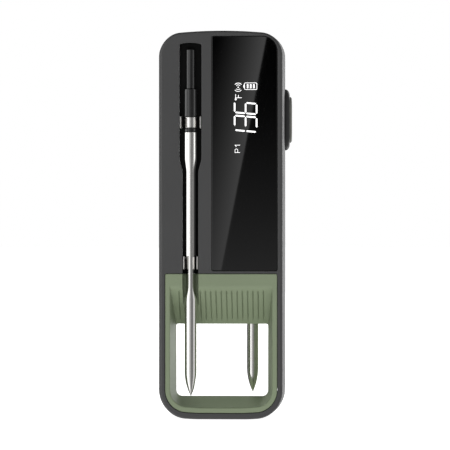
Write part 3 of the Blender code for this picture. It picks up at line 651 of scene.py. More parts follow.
def screw_places():
    """The screws' axes (x, z), from their CAD nodes."""
    middles = [sum(corners(f"housing_screw_{i}")) / 2 for i in range(1, 5)]
    return [(middle[0], middle[2]) for middle in middles]


def glass_outline(margin):
    """The display glass: small corners but for the one that follows the dock's upper right corner."""
    small = GLASS_CORNER + max(margin, -0.0004)
    radii = (small, GLASS_DOCK_CORNER + margin, small, small)
    low, high = GLASS_LOW - margin, GLASS_HIGH + margin
    return rounded(low[0], high[0], low[2], high[2], radii, 10, 2)


def rim_outline(sizes, margin):
    """The window frame's outline at the face, whose foot bows as the dock's does."""
    foot, top = RIM_LOW[2] - margin, RIM_HIGH[2] + margin
    radius, top_radius = RIM_CORNER + margin, RIM_TOP_CORNER + max(margin, -0.0005)
    return window_outline(RIM_HIGH[0] + margin, foot, top, radius, top_radius, sizes.foot_bow)


def stadium(middle, half_length, half_width, steps=24):
    """An upright oblong with round ends, as (y, z) about a middle (y, z)."""
    straight = half_length - half_width
    upper = arc(middle[0], middle[1] + straight, half_width, 0, 180, steps)
    lower = arc(middle[0], middle[1] - straight, half_width, 180, 360, steps)
    return np.concatenate([upper, lower])


def oblongs(name, middle, stations):
    """A body along X through upright oblongs about a middle (y, z), each at a place x with half a length
    and width."""
    rings = []
    for x, half_length, half_width in stations:
        outline = stadium(middle, half_length, half_width)
        rings.append(np.stack([np.full(len(outline), x), outline[:, 0], outline[:, 1]], axis=-1))
    return loft(name, np.array(rings))


def button_middle():
    """The middle (y, z) of the side button."""
    return 0.0, (KEY_LOW[2] + KEY_HIGH[2]) / 2


def face_cutters(sizes, slot, side):
    """Openings for the window frame and the probe slot, with softened lips."""
    foot = RIM_HIGH[2] - 0.002

    def rim(margin):
        return rim_outline(sizes, margin + sizes.seam)

    def slit(margin):
        return slot_outline(slot, foot, margin)

    outlines = {"_window_cutter": rim, "_slot_cutter": slit}
    return [opening(side + name, outline, 0.003, sizes.lip, side) for name, outline in outlines.items()]


def front_shell(sizes, slot):
    """The front shell: its outer form less its inside, with screw bosses and a tongue at the parting plane,
    and with openings for the window, the slot, the glass, the lit figures, the socket and the button."""
    last = BODY_HIGH[1]
    shell = loft("Front_Housing", shell_rings(sizes, "front", last))
    carve(shell, [hollow(sizes, "front", last + 0.001)])
    joined, holes = [], []
    for i, (x, z) in enumerate(screw_places()):
        joined.append(slab(f"front_boss_{i}", circle(x, z, BOSS_RADIUS), -FACE_Y + sizes.wall / 2, last))
        holes.append(slab(f"front_hole_{i}", circle(x, z, HOLE_RADIUS), -0.0085, last + 0.001))
    inner = sizes.wall + 0.0003
    joined.append(collar_ring(sizes, "tongue", last - 0.0008, last + TONGUE_REACH, TONGUE_INSET, inner))
    holes += face_cutters(sizes, slot, "front")

    def glass(margin):
        return glass_outline(margin + 0.00012)

    holes.append(opening("glass_cutter", glass, GLASS_RECESS, sizes.lip, "front"))
    lit = rounded(*LIT_OPENING, (0.001,) * 4, 6, 2)
    holes.append(slab("lit_cutter", lit, -FACE_Y - 0.001, -FACE_Y + 0.003))
    socket_low, socket_high = corners("usb_c_socket")
    middle = (socket_low + socket_high) / 2
    long, wide = (socket_high - socket_low)[[2, 1]] / 2 + 0.0003
    stations = [(-0.001, 0.0005), (0.0001, 0.0005), (0.0006, 0.0), (0.004, 0.0)]
    stations = [(-HALF_WIDTH + x, long + gap, wide + gap) for x, gap in stations]
    holes.append(oblongs("socket_cutter", middle[1:], stations))
    holes.append(button_cutter("front"))
    return carve(shell, holes, joined)


def button_cutter(side):
    """The opening of the side for the bezel's neck."""
    stations = [(HALF_WIDTH - 0.004, *NECK_OPENING), (HALF_WIDTH + 0.002, *NECK_OPENING)]
    return oblongs(side + "_button_cutter", button_middle(), stations)


def rear_shell(sizes, slot):
    """The rear shell: its outer form less its inside, with a rebate for the tongue, screw bosses, stepped
    wells for the screw heads, and openings for the window, the slot, the pad and the button."""
    last = REAR_LOW[1]
    shell = loft("Rear_Housing", shell_rings(sizes, "rear", last))
    carve(shell, [hollow(sizes, "rear", last - 0.001)])
    inner = sizes.wall + 0.0012
    holes = [collar_ring(sizes, "rebate", last - 0.001, last + TONGUE_REACH, REBATE_INSET, inner)]
    bosses = []
    for i, (x, z) in enumerate(screw_places()):
        bosses.append(slab(f"rear_boss_{i}", circle(x, z, BOSS_RADIUS), FACE_Y - sizes.wall / 2, last))
        holes.append(slab(f"rear_hole_{i}", circle(x, z, HOLE_RADIUS), last - 0.001, FACE_Y + 0.001))
        well = [at_depth(circle(x, z, radius, 48), FACE_Y + y) for radius, y in WELL]
        holes.append(loft(f"rear_well_{i}", np.array(well)))
    holes += face_cutters(sizes, slot, "rear")
    pad_low, pad_high = corners("rear_grip_pad")

    def pad(margin):
        gap = margin + 0.00015
        outline = (-pad_high[0] - gap, -pad_low[0] + gap, pad_low[2] - gap, pad_high[2] + gap)
        return rounded(*outline, (0.0021 + gap,) * 4, 10, 2)

    holes.append(opening("pad_cutter", pad, 0.001, sizes.lip, "rear"))
    holes.append(button_cutter("rear"))
    return carve(shell, holes, bosses)


# ---------------------------------------------------------------- window frame


GROOVE_STEPS = np.array([-0.5, -0.38, -0.2, 0.0, 0.2, 0.38, 0.5])
GROOVE_HEIGHTS = ((0.0503, -0.0009), (0.0380, 0.0006))
CORNER_AT_FACE = 0.006
CORNER_AT_WAIST = 0.0023
FRAME_WALL = 0.0016
SLIT_FOOT = 0.042
CHANNEL_FOOT = 0.0412
CHANNEL_WALL = 0.00075
TRAY_WALL = 0.0008


def groove_places(sizes):
    """Where the grooves lie across, and the samples across that draw them crisply."""
    middles = (np.arange(sizes.groove_count) - (sizes.groove_count - 1) / 2) * sizes.groove_pitch
    samples = (middles[:, None] + GROOVE_STEPS[None] * sizes.groove_width).ravel()
    ribs = (middles[1:] + middles[:-1]) / 2
    return middles, np.sort(np.concatenate([samples, ribs]))


def tunnel_rings(sizes, margin, grooved):
    """Rings of the tunnel from the face to the waist. Across it is a rounded window that narrows evenly.
    Its top comes down from the flat ledge along an arc into the straight ramp, and the grooves lift it by a
    cosine squared across each groove, faded out at the ramp's two ends."""
    slope = (sizes.ledge_foot - sizes.waist_top) / FACE_Y
    slant = math.hypot(1.0, slope)
    start = FACE_Y + RIM_LOW[1]
    turn = math.atan2(1.0, slope)
    tangent = sizes.roll * math.tan(turn / 2)
    top_face = sizes.ledge_foot - slope * start + tangent
    roll_turn = np.linspace(0.0, turn, 11)
    roll_depth = start + sizes.roll * (1 - np.cos(roll_turn))
    roll_top = top_face - sizes.roll * np.sin(roll_turn)
    near = np.linspace(roll_depth[-1], 0.0028, 7)[1:]
    far = np.linspace(0.0028, FACE_Y - 0.00015, 22)[1:]
    depth = np.concatenate([roll_depth, near, far])
    top = np.concatenate([roll_top, sizes.ledge_foot - slope * near, sizes.ledge_foot - slope * far])
    lip = 0.0004
    part = depth / FACE_Y
    rounding = lip - np.sqrt(np.maximum(lip**2 - (lip - depth + start) ** 2, 0.0))
    open_up = np.where(depth - start < lip, rounding, 0.0)
    middles, samples = groove_places(sizes)
    rings = []
    for y, high, along, wider in zip(depth, top, part, open_up):
        half = sizes.mouth_half + (sizes.waist_half - sizes.mouth_half) * along + margin + wider
        foot = sizes.mouth_foot + (sizes.waist_foot - sizes.mouth_foot) * along - margin - wider
        bow = sizes.foot_bow * (1 - along)
        radius = CORNER_AT_FACE + (CORNER_AT_WAIST - CORNER_AT_FACE) * along + margin
        upper = 0.0006 + margin
        high = high + margin * slant
        lower_corner = arc(half - radius, foot + bow + radius, radius, -90, 0, 16)
        right = np.concatenate([lower_corner, arc(half - upper, high - upper, upper, 0, 90, 5)])
        left = right[::-1] * np.array([-1.0, 1.0])
        across_top = samples[::-1]
        lift = np.zeros(len(across_top))
        if grooved:
            away = np.abs(across_top[:, None] - middles[None]).min(axis=1)
            shape = np.cos(np.minimum(away / sizes.groove_width, 0.5) * math.pi) ** 2
            above, below = (smooth((high - level) / step) for level, step in GROOVE_HEIGHTS)
            lift = shape * sizes.groove_depth * slant * above * below
        crown = np.stack([across_top, high + lift], axis=-1)
        floor = np.linspace(-(half - radius), half - radius, 26)[1:-1]
        base = np.stack([floor, np.full(24, foot + bow)], axis=-1)
        outline = np.concatenate([right, crown, left, base])
        lower = outline[:, 1] < (foot + high) / 2
        drop = np.minimum(1.0, 1.2 * (1 - (outline[:, 0] / half) ** 2))
        outline[:, 1] -= np.where(lower, bow * drop, 0.0)
        rings.append(at_depth(outline, -FACE_Y + y))
    return np.array(rings)


def straight_on(rings, before, after):
    """The same rings, carried straight on past both ends."""
    first = rings[:1] - np.array([0.0, before, 0.0])
    last = rings[-1:] + np.array([0.0, after, 0.0])
    return np.concatenate([first, rings, last])


def window_frame(sizes, slot, side):
    """The frame of one half of the window: a rim with rounded edges, the ledge, the grooved ramp and the
    tunnel, and a block with the probe's channel through the ledge."""

    def rim(margin):
        return rim_outline(sizes, margin)

    def slit(margin):
        return slot_outline(slot, SLIT_FOOT, margin)

    rings = soft_plate(rim, RIM_LOW[1], -FACE_Y + 0.0015, 0.0003)
    made = loft(side.capitalize() + "_Window_Frame", half_turn(rings, side))
    wall = tunnel_rings(sizes, FRAME_WALL, False)
    wall = wall[wall[:, 0, 1] > -FACE_Y + 0.0004]
    outer = loft(side + "_tunnel_outer", half_turn(wall, side))
    half = slot.narrow + CHANNEL_WALL
    square = rectangle(-slot.centre - half, -slot.centre + half, CHANNEL_FOOT, RIM_HIGH[2] - 0.0002)
    block = np.array([at_depth(square, y) for y in (-FACE_Y + 0.0012, -slot.floor + 0.0008)])
    carve(made, [], [outer, loft(side + "_insert_channel", half_turn(block, side))])
    inner = half_turn(straight_on(tunnel_rings(sizes, 0.0, True), 0.001, 0.001), side)
    channel = opening(side + "_insert_slot", slit, FACE_Y - slot.floor, 0.0003, side)
    return carve(made, [loft(side + "_tunnel_inner", inner), channel])


# ---------------------------------------------------------------- probe channels and contacts


def probe_channel(slot, side):
    """The black channel of a probe above the window frame: an extruded slot with a floor, slit for the
    contacts."""
    low, high = corners(side + "_probe_tray")
    front, back = (low[1], high[1]) if side == "front" else (-high[1], -low[1])

    def body(name, outline, *depths):
        return loft(name, half_turn(np.array([at_depth(outline, y) for y in depths]), side))

    foot = low[2]
    outer = slot_outline(slot, foot, TRAY_WALL - 0.00005)
    made = body(side.capitalize() + "_Probe_Channel", outer, front, back)
    inside = slot_outline(slot, foot - 0.002, 0.00002)
    cutters = [body(side + "_channel_inside", inside, front - 0.002, -slot.floor)]
    for level, half in (("upper", slot.wide), ("lower", slot.narrow)):
        leaf_low, leaf_high = corners(f"{side}_{level}_contact")
        for hand in (-1, 1):
            middle = -slot.centre + hand * (half - 0.0007)
            slit = rectangle(middle - 0.00045, middle + 0.00045, leaf_low[2] - 0.0003, leaf_high[2] + 0.0003)
            name = f"{side}_{level}_slit_{hand}"
            cutters.append(body(name, slit, -slot.floor - 0.0006, -slot.floor + 0.002))
    return carve(made, cutters)


def spring_leaf(slot, side, level):
    """A U-shaped leaf: a smooth path from one flared lip, round behind the channel, to the other, carried
    up its height. A sheet with thickness and rounded edges."""
    low, high = corners(f"{side}_{level}_contact")
    outer = (high[0] - low[0]) / 2 - slot.leaf / 2
    reach = outer - 0.00035
    web = -slot.floor + 0.0016
    keys_x = np.array([-outer, -outer + 0.00015, -reach, -outer + 0.00035])
    keys_y = np.array([-0.0129, -0.0124, -0.0106, -0.0082])
    fine = np.linspace(0.0, 3.0, 31)
    order = np.arange(4.0)
    bowed_x = np.interp(fine, order, keys_x)
    bowed_y = np.interp(fine, order, keys_y)
    kernel = np.ones(7) / 7
    padded_x = np.pad(bowed_x, 3, mode="edge")
    padded_y = np.pad(bowed_y, 3, mode="reflect", reflect_type="odd")
    arm = np.stack([np.convolve(padded_x, kernel, "valid"), np.convolve(padded_y, kernel, "valid")], axis=-1)
    bend = 0.0006
    corner = arc(-outer + 0.00035 + bend, web - bend, bend, 180, 90, 6)
    half = np.concatenate([arm, corner])
    path = np.concatenate([half, half[::-1] * np.array([-1.0, 1.0])])
    heights = np.linspace(low[2], high[2], 5)
    rows = np.broadcast_arrays(path[:, None, 0] - slot.centre, path[:, None, 1], heights[None])
    rows = np.stack(rows, axis=-1)
    faces = grid_faces(len(path), 5, closed=False)
    name = f"{side.capitalize()}_{level.capitalize()}_Contact"
    made = make_object(name, half_turn(rows, side).reshape(-1, 3), faces.tolist())
    sheet = made.modifiers.new("Sheet", "SOLIDIFY")
    sheet.thickness = slot.leaf
    sheet.offset = 0.0
    edge = made.modifiers.new("Edge", "BEVEL")
    edge.width = 0.00008
    edge.segments = 2
    edge.limit_method = "ANGLE"
    edge.angle_limit = math.radians(50)
    return settle(made)


# ---------------------------------------------------------------- probes


HANDLE_RADIUS = 0.0024
NECK_RADIUS = 0.00175
SPIGOT_RADIUS = 0.00145
TUBE_WALL = 0.0004
SHOULDER_Z, SHOULDER_LENGTH = 0.0964, 0.0062
SWELL_Z, SWELL_LENGTH = 0.0463, 0.0046


def probe_axis(side):
    """A probe's axis (x, y)."""
    sign = 1.0 if side == "front" else -1.0
    return PROBE_AXIS[0] * sign, PROBE_AXIS[1] * sign


def round_edge(radius, height, bend, above=True, steps=5):
    """Profile points of a rounded edge: a quarter circle between a flat end at a height and the outer
    radius."""
    turn = np.linspace(0.0, math.pi / 2, steps + 1)
    if above:
        return np.stack([radius - bend + bend * np.sin(turn), height - bend + bend * np.cos(turn)], axis=-1)
    return np.stack([radius - bend + bend * np.cos(turn), height + bend - bend * np.sin(turn)], axis=-1)


def radius_of(node):
    """Half a turned node's width."""
    low, high = corners(node)
    return (high[0] - low[0]) / 2


def cap_profile():
    """The slim end cap: a slightly domed top, a rounded shoulder and a foot."""
    radius, top, foot = radius_of("front_probe_cap"), CAP_HIGH[2], CAP_LOW[2]
    bend = 0.0006
    dome = np.stack([np.linspace(0.0, radius - bend, 6), np.full(6, top)], axis=-1)
    dome[:, 1] -= 0.00008 * (dome[:, 0] / radius) ** 2
    shoulder = round_edge(radius, dome[-1, 1], bend, steps=8)
    base = [[radius, foot + 0.0001], [radius - 0.0001, foot], [0.0, foot]]
    return np.concatenate([dome, shoulder[1:], base])


def collar_profile():
    """The wider black collar with its rounded shoulder, and the spigot that goes down into the tube."""
    radius, top = radius_of("front_probe_collar"), COLLAR_HIGH[2]
    spigot, foot, ring = SPIGOT_RADIUS, COLLAR_LOW[2], RING_HIGH[2] + 0.00015
    flat = [[0.0, top], [radius - 0.0006, top]]
    lower = round_edge(radius, ring, 0.00008, above=False, steps=3)
    down = [[spigot, ring], [spigot, foot], [0.0, foot]]
    return np.concatenate([flat, round_edge(radius, top, 0.00035, steps=7), lower, down])


def band_profile(node, bend):
    """A short ring with rounded outer edges and a plain bore."""
    radius, bore = radius_of(node), NECK_RADIUS
    low, high = (corner[2] for corner in corners(node))
    upper = round_edge(radius, high, bend, steps=4)
    lower = round_edge(radius, low, bend, above=False, steps=4)
    return np.concatenate([[[bore, high]], upper, lower, [[bore, low], [bore, high]]])


def charge_ring_profile():
    return band_profile("front_probe_charge_ring", 0.00012)


def insulator_profile():
    return band_profile("front_probe_insulator", 0.0001)


def shaft_profile():
    """The steel tube: handle, a smooth shoulder down to the thin neck, a smooth swell to the lower stem,
    and a bore with a wall of 0.4 mm. Each change of radius follows 3t^2 - 2t^3."""
    handle, neck, stem = HANDLE_RADIUS, NECK_RADIUS, radius_of("front_probe_shaft")
    top, foot = SHAFT_HIGH[2], SHAFT_LOW[2]
    upper = np.linspace(0.1034, 0.0960, 25)
    lower = np.linspace(0.0512, 0.0460, 21)
    shoulder = neck + (handle - neck) * smooth((upper - SHOULDER_Z) / SHOULDER_LENGTH)
    swell = stem - (stem - neck) * smooth((lower - SWELL_Z) / SWELL_LENGTH)
    body = np.concatenate(
        [
            round_edge(handle, top, 0.0002, steps=4),
            np.stack([shoulder, upper], axis=-1),
            np.stack([swell, lower], axis=-1),
            [[stem, foot + 0.0001], [stem, foot]],
        ]
    )
    bore = body[-2::-1] - np.array([TUBE_WALL, 0.0])
    bore[0, 1] = foot
    bore[-1, 1] = top
    return np.concatenate([body, bore, body[:1]])


def tip_profile():
    """The pointed tip: its flank is an arc of a circle that leaves the tube without a step, and comes to a
    point."""
    radius, foot = radius_of("front_probe_tip"), TIP_LOW[2]
    top = SHAFT_LOW[2] - 0.00002
    length_down = top - foot
    flank = (radius**2 + length_down**2) / (2 * radius)
    drop = length_down * np.sin(np.linspace(0.0, math.pi / 2, 41))
    across_flank = np.sqrt(flank**2 - drop**2) - (flank - radius)
    spigot = radius - 0.0005
    flank_points = np.stack([across_flank, top - drop], axis=-1)
    flank_points[-1, 0] = 0.0
    head = [[0.0, TIP_HIGH[2]], [spigot, TIP_HIGH[2]], [spigot, top]]
    return np.concatenate([head, flank_points])


PROBE_PIECES = (
    ("cap", "Cap", "probe_ceramic", cap_profile),
    ("collar", "Collar", "probe_ceramic", collar_profile),
    ("charge_ring", "Charge_Ring", "polished_steel", charge_ring_profile),
    ("insulator", "Insulator", "probe_ceramic", insulator_profile),
    ("shaft", "Shaft", "polished_steel", shaft_profile),
    ("tip", "Tip", "polished_steel", tip_profile),
)


# ---------------------------------------------------------------- display


def glass_panel():
    """The display glass: a flat plate whose front edge is rounded all round."""
    rings = soft_plate(glass_outline, GLASS_LOW[1] + 0.00005, GLASS_HIGH[1], 0.00025)
    return settle(loft("Display_Glass", rings))


def ribbon(points, half, round_end=False):
    """A flat stroke along a path: its outline runs down one side and back up the other, square or round at
    its ends."""
    points = np.asarray(points, float)
    along = np.gradient(points, axis=0)
    along /= np.linalg.norm(along, axis=1)[:, None]
    normal = np.stack([-along[:, 1], along[:, 0]], axis=-1)
    left, right = points + normal * half, points - normal * half
    if not round_end:
        return np.concatenate([left, right[::-1]])
    turn = np.radians(np.linspace(90, -90, 9))[1:-1, None]
    far = points[-1] + half * (np.cos(turn) * along[-1] + np.sin(turn) * normal[-1])
    near = points[0] - half * (np.cos(turn) * along[0] + np.sin(turn) * normal[0])
    return np.concatenate([left, far, right[::-1], near])


def segment(a, b, half, cut=0.55):
    """A display segment: a bar between two points whose ends are cut to blunt points."""
    a, b = np.array(a, float), np.array(b, float)
    along = (b - a) / np.linalg.norm(b - a)
    normal = np.array([-along[1], along[0]])
    point, side = along * half * cut * 2, normal * half
    return np.array([a, a + point + side, b - point + side, b, b - point - side, a + point - side])


SEGMENTS_OF = {"1": "bc", "3": "abgcd", "6": "afgecd"}


def digit(figure, start, width, tall, half, slant):
    """The outlines of a seven-segment digit, in reading coordinates (along, up), leaning by a slant."""
    gap = 0.0002
    up = (half, tall / 2, tall - half)
    x0, x1 = start + half, start + width - half
    places = {
        "a": ((x0 + gap, up[2]), (x1 - gap, up[2])),
        "g": ((x0 + gap, up[1]), (x1 - gap, up[1])),
        "d": ((x0 + gap, up[0]), (x1 - gap, up[0])),
        "f": ((x0, up[1] + gap), (x0, up[2] - gap)),
        "b": ((x1, up[1] + gap), (x1, up[2] - gap)),
        "e": ((x0, up[0] + gap), (x0, up[1] - gap)),
        "c": ((x1, up[0] + gap), (x1, up[1] - gap)),
    }
    outlines = []
    for name in SEGMENTS_OF[figure]:
        outline = segment(*places[name], half)
        outline[:, 0] += slant * outline[:, 1]
        outlines.append(outline)
    return outlines


STROKE = 0.0001
DIGITS = (("1", -0.0056, 0.0046), ("3", -0.0001, 0.0048), ("6", 0.0053, 0.0047))
DIGIT_HEIGHT = 0.0092
DIGIT_STROKE = 0.00031
DIGIT_LEAN = 0.09
READING_ORIGIN = (0.0142, 0.1136)


def circle_stroke(middle, radius, start, end):
    """A fine stroke along part of a circle."""
    return ribbon(arc(middle[0], middle[1], radius, start, end, 18), STROKE, True)


def straight(along, up, half=STROKE):
    """A straight stroke, of which one coordinate is a number and the other two ends."""
    ends = np.array(np.broadcast_arrays(along, up), float).T
    return ribbon([ends[0], ends.mean(axis=0), ends[-1]], half)


def figure_outlines():
    """Everything lit on the display, in reading coordinates: along is up the dock, and up is towards its
    left."""
    shapes = []
    for figure, start, width in DIGITS:
        shapes += digit(figure, start, width, DIGIT_HEIGHT, DIGIT_STROKE, DIGIT_LEAN)
    for start in (0, 180):
        shapes.append(circle_stroke((0.0115, 0.00845), 0.00028, start, start + 180))
    shapes.append(straight(0.0121, (0.0061, 0.0086)))
    shapes.append(straight((0.0121, 0.0135), 0.0085))
    shapes.append(straight((0.0121, 0.0132), 0.0074))
    wave = (0.0162, 0.0075)
    dot = [[wave[0] + step, wave[1]] for step in (-0.00004, 0.0, 0.00004)]
    shapes.append(ribbon(dot, 0.00022, True))
    for radius in (0.00095, 0.00165):
        for facing in (0, 180):
            shapes.append(circle_stroke(wave, radius, facing - 48, facing + 48))
    low, high, inner, outer, corner = 0.0153, 0.0179, 0.0002, 0.0050, 0.0004
    middle = (low + high) / 2
    right = np.concatenate(
        [
            [[middle, inner]],
            arc(high - corner, inner + corner, corner, -90, 0, 6),
            arc(high - corner, outer - corner, corner, 0, 90, 6),
            [[middle, outer]],
        ]
    )
    left = right[::-1] * np.array([-1.0, 1.0]) + np.array([low + high, 0.0])
    shapes += [ribbon(right, STROKE), ribbon(left, STROKE)]
    shapes.append(straight((middle - 0.0006, middle + 0.0006), 0.0053, 0.00013))
    for up in (0.0014, 0.0026, 0.0038):
        shapes.append(straight((low + 0.0005, high - 0.0005), up, 0.0003))
    stem, top = -0.0095, 0.0089
    bowl = arc(stem + 0.0010, top - 0.00062, 0.00062, 90, -90, 10)
    name = [straight(place, (0.0066, top + STROKE)) for place in (stem, -0.0062)]
    name.append(ribbon(np.concatenate([[[stem, top]], bowl, [[stem, top - 0.00124]]]), STROKE))
    name.append(ribbon([[-0.0069, 0.0083], [-0.0065, 0.0086], [-0.0062, top]], STROKE))
    centre = np.array([-0.0079, 0.00775])
    return shapes + [centre + (outline - centre) * 0.87 for outline in name]


def display_figures():
    """The lit figures: thin plates just proud of the glass."""
    face = GLASS_LOW[1] + 0.00004
    points, faces, start = [], [], 0
    for outline in figure_outlines():
        flat = np.stack([READING_ORIGIN[0] - outline[:, 1], READING_ORIGIN[1] + outline[:, 0]], axis=-1)
        count = len(flat)
        rings = np.array([at_depth(flat, face), at_depth(flat, face + 0.00003)])
        points.append(rings.reshape(-1, 3))
        faces += (grid_faces(2, count) + start).tolist()
        faces.append([start + i for i in range(count - 1, -1, -1)])
        faces.append([start + count + i for i in range(count)])
        start += 2 * count
    return make_object("Display_Figures", np.concatenate(points), faces)


# ---------------------------------------------------------------- button, screws, socket and pad


BEZEL_NECK = np.array([0.0112, 0.004])
KEY_HOLE = (0.00935, 0.00345)
KEY_HALF = np.array([0.0091, 0.0032])


def side_bezel():
    """The raised bezel round the key: from the dock's side it leans in along a quarter of an ellipse to its
    face, and it has a hole for the key with a softened mouth."""
    middle = button_middle()
    face, back = BEZEL_HIGH[0], BEZEL_LOW[0]
    half = np.array([BEZEL_HIGH[2] - middle[1], BEZEL_HIGH[1]])
    neck_x, rise = HALF_WIDTH - 0.0004, face - HALF_WIDTH - 0.0001
    shrink = np.array([0.0021, 0.00095])
    reach = math.radians(78)
    turn = np.linspace(0.0, reach, 14)[:, None]
    swell = half - shrink * (1 - np.cos(turn)) / (1 - math.cos(reach))
    across_x = HALF_WIDTH + 0.0001 + rise * np.sin(turn[:, 0]) / math.sin(reach)
    halves = [BEZEL_NECK, BEZEL_NECK, half - 0.00015, *swell]
    places = [back, neck_x, neck_x, *across_x]
    bezel = oblongs("Button_Bezel", middle, [(x, *both) for x, both in zip(places, halves)])
    hole = [(back - 0.001, 0.0), (face - 0.00025, 0.0), (face - 0.00005, 0.0002), (face + 0.001, 0.0003)]
    hole = [(x, KEY_HOLE[0] + gap, KEY_HOLE[1] + gap) for x, gap in hole]
    return carve(bezel, [oblongs("key_hole", middle, hole)])


def side_key():
    """The rubber key: an oblong whose edge rounds over along a quarter of an ellipse into a gently crowned
    face, on a flange behind the bezel."""
    middle = button_middle()
    face, back = KEY_HIGH[0], KEY_LOW[0]
    flange = np.array([KEY_HIGH[2] - middle[1], KEY_HIGH[1]])
    turn = np.linspace(0.0, math.pi / 2, 9)[:, None]
    rounding = np.array([0.0011, 0.0008])
    swell = KEY_HALF - rounding * (1 - np.cos(turn))
    across_x = face - 0.00078 + 0.0007 * np.sin(turn[:, 0])
    crown = KEY_HALF - rounding - np.array([[0.0012, 0.0008], [0.0030, 0.0017]])
    halves = [flange, flange, KEY_HALF, *swell, *crown]
    places = [back, back + 0.0012, back + 0.0012, *across_x, face - 0.00003, face]
    return settle(oblongs("Button_Key", middle, [(x, *both) for x, both in zip(places, halves)]))


def screw(index):
    """A pan-head screw with a cross recess: a turned profile along Y, and a cross of two tapered slots cut
    in."""
    low, high = corners(f"housing_screw_{index}")
    x, _, z = (low + high) / 2
    top, end = high[1], low[1]
    radius, shank, bend, dome = 0.0017, 0.0009, 0.0004, 0.00015
    part = np.linspace(0.0, 1.0, 6)
    crown = np.stack([(radius - bend) * part, top - dome * part**2], axis=-1)
    edge = round_edge(radius, top - dome, bend)[1:]
    stem = np.array([[radius, top - 0.001], [shank, top - 0.001]])
    count = 72
    winds = np.linspace(top - 0.0045, end + 0.001, count)
    thread = np.stack([shank - 0.00018 * (np.arange(count) % 2), winds], axis=-1)
    profile = np.concatenate([crown, edge, stem, thread, [[0.0, end]]])
    angle = np.linspace(0.0, 2 * math.pi, 32, endpoint=False)
    out, along = profile[:, None, 0], profile[:, None, 1]
    rings = np.broadcast_arrays(x + out * np.cos(angle), along, z + out * np.sin(angle))
    rings = np.stack(rings, axis=-1).reshape(-1, 3)
    made = make_object(f"Housing_Screw_{index}", rings, grid_faces(len(profile), 32).tolist())
    cutters = []
    for wide, tall in ((0.00095, 0.0002), (0.0002, 0.00095)):
        rings = []
        for part, y in ((1.0, top + 0.0003), (1.0, top), (0.55, top - 0.0007)):
            slot = rectangle(x - wide * part, x + wide * part, z - tall * part, z + tall * part)
            rings.append(at_depth(slot, y))
        cutters.append(loft("recess", np.array(rings)))
    return carve(made, cutters)


def grip_pad():
    """The rear pad: a rounded plate with soft edges, and shallow grooves across it, each a half circle
    drawn flat."""
    low, high = corners("rear_grip_pad")
    face = high[1]
    depth, half_width, pitch = 0.000264, 0.0005, 0.002

    def outline_at(margin):
        edges = (low[0] - margin, high[0] + margin, low[2] - margin, high[2] + margin)
        return rounded(*edges, (0.002 + margin,) * 4, 10, 2)

    pad = loft("Rear_Grip_Pad", soft_plate(outline_at, face, low[1], 0.00035))
    count = int((high[2] - low[2] - 0.006) / pitch)
    turn = np.linspace(math.pi, 2 * math.pi, 9)
    section = np.stack([np.zeros(9), face + depth * np.sin(turn), half_width * np.cos(turn)], axis=-1)
    ends = np.array([low[0] + 0.0016, high[0] - 0.0016])[:, None, None] * np.array([1.0, 0.0, 0.0])
    points, faces = [], []
    for i in range(count):
        z = (low[2] + high[2]) / 2 + (i - (count - 1) / 2) * pitch
        points.append((section[None] + ends + np.array([0.0, 0.0, z])).reshape(-1, 3))
        faces += (grid_faces(2, 9) + 18 * i).tolist()
        faces += [list(range(18 * i + 8, 18 * i - 1, -1)), list(range(18 * i + 9, 18 * i + 18))]
    return carve(pad, [make_object("grooves", np.concatenate(points), faces)])


# ---------------------------------------------------------------- stage


GLOSSY_LIGHTS = (
    (-178.0, -160.0, 0.6),
    (-104.0, -26.0, 0.95),
    (-104.0, -12.0, 0.3),
    (-104.0, 9.0, 0.4),
    (4.0, 60.0, 0.12),
    (46.0, 96.0, 0.7),
    (126.0, 162.0, 2.8),
)


HIDDEN_RAYS = ("camera", "diffuse", "transmission", "volume_scatter", "shadow")


def glossy_card(name, points, closed, material):
    """A card that only glossy surfaces see: a grid of points with a material."""
    mesh = bpy.data.meshes.new(name)
    faces = grid_faces(*points.shape[:2], closed)
    mesh.from_pydata(points.reshape(-1, 3).tolist(), [], faces.tolist())
    mesh.materials.append(material)
    card = bpy.data.objects.new(name, mesh)
    bpy.context.scene.collection.objects.link(card)
    for ray in HIDDEN_RAYS:
        setattr(card, "visible_" + ray, False)


SLOT_CARDS = ((-1, "Left", 2.0, 0.0085, 0.0105), (1, "Right", 1.9, 0.0110, 0.0121))


def light_band(radius=1.75, dim=0.1, fade=7.0):
    """A sphere's band round the object: azimuth by elevation, azimuth 0 towards the camera and turning
    towards +X. It is dim all round but for soft-edged upright light strips."""
    azimuth = np.linspace(-math.pi, math.pi, 96, endpoint=False)[None]
    height = np.radians(np.linspace(-80, 80, 41))[:, None]
    flat = radius * np.cos(height)
    up = radius * np.sin(height) + HEIGHT / 2
    points = np.broadcast_arrays(flat * np.sin(azimuth), -flat * np.cos(azimuth), up)
    made = Finish("light_band")
    turn = made.axis("X").math("ARCTAN2", made.axis("Y") * -1.0) * (180 / math.pi)
    strength = 0.0 * turn + dim
    for start, end, bright in GLOSSY_LIGHTS:
        strength = strength + turn.between(start, start + fade) * turn.between(end, end - fade) * bright
    level = made.axis("Z").between(1.4, 0.7)
    material = made.glow(strength * level + dim * (1.0 - level))
    glossy_card("Light_Band", np.stack(points, axis=-1), True, material)


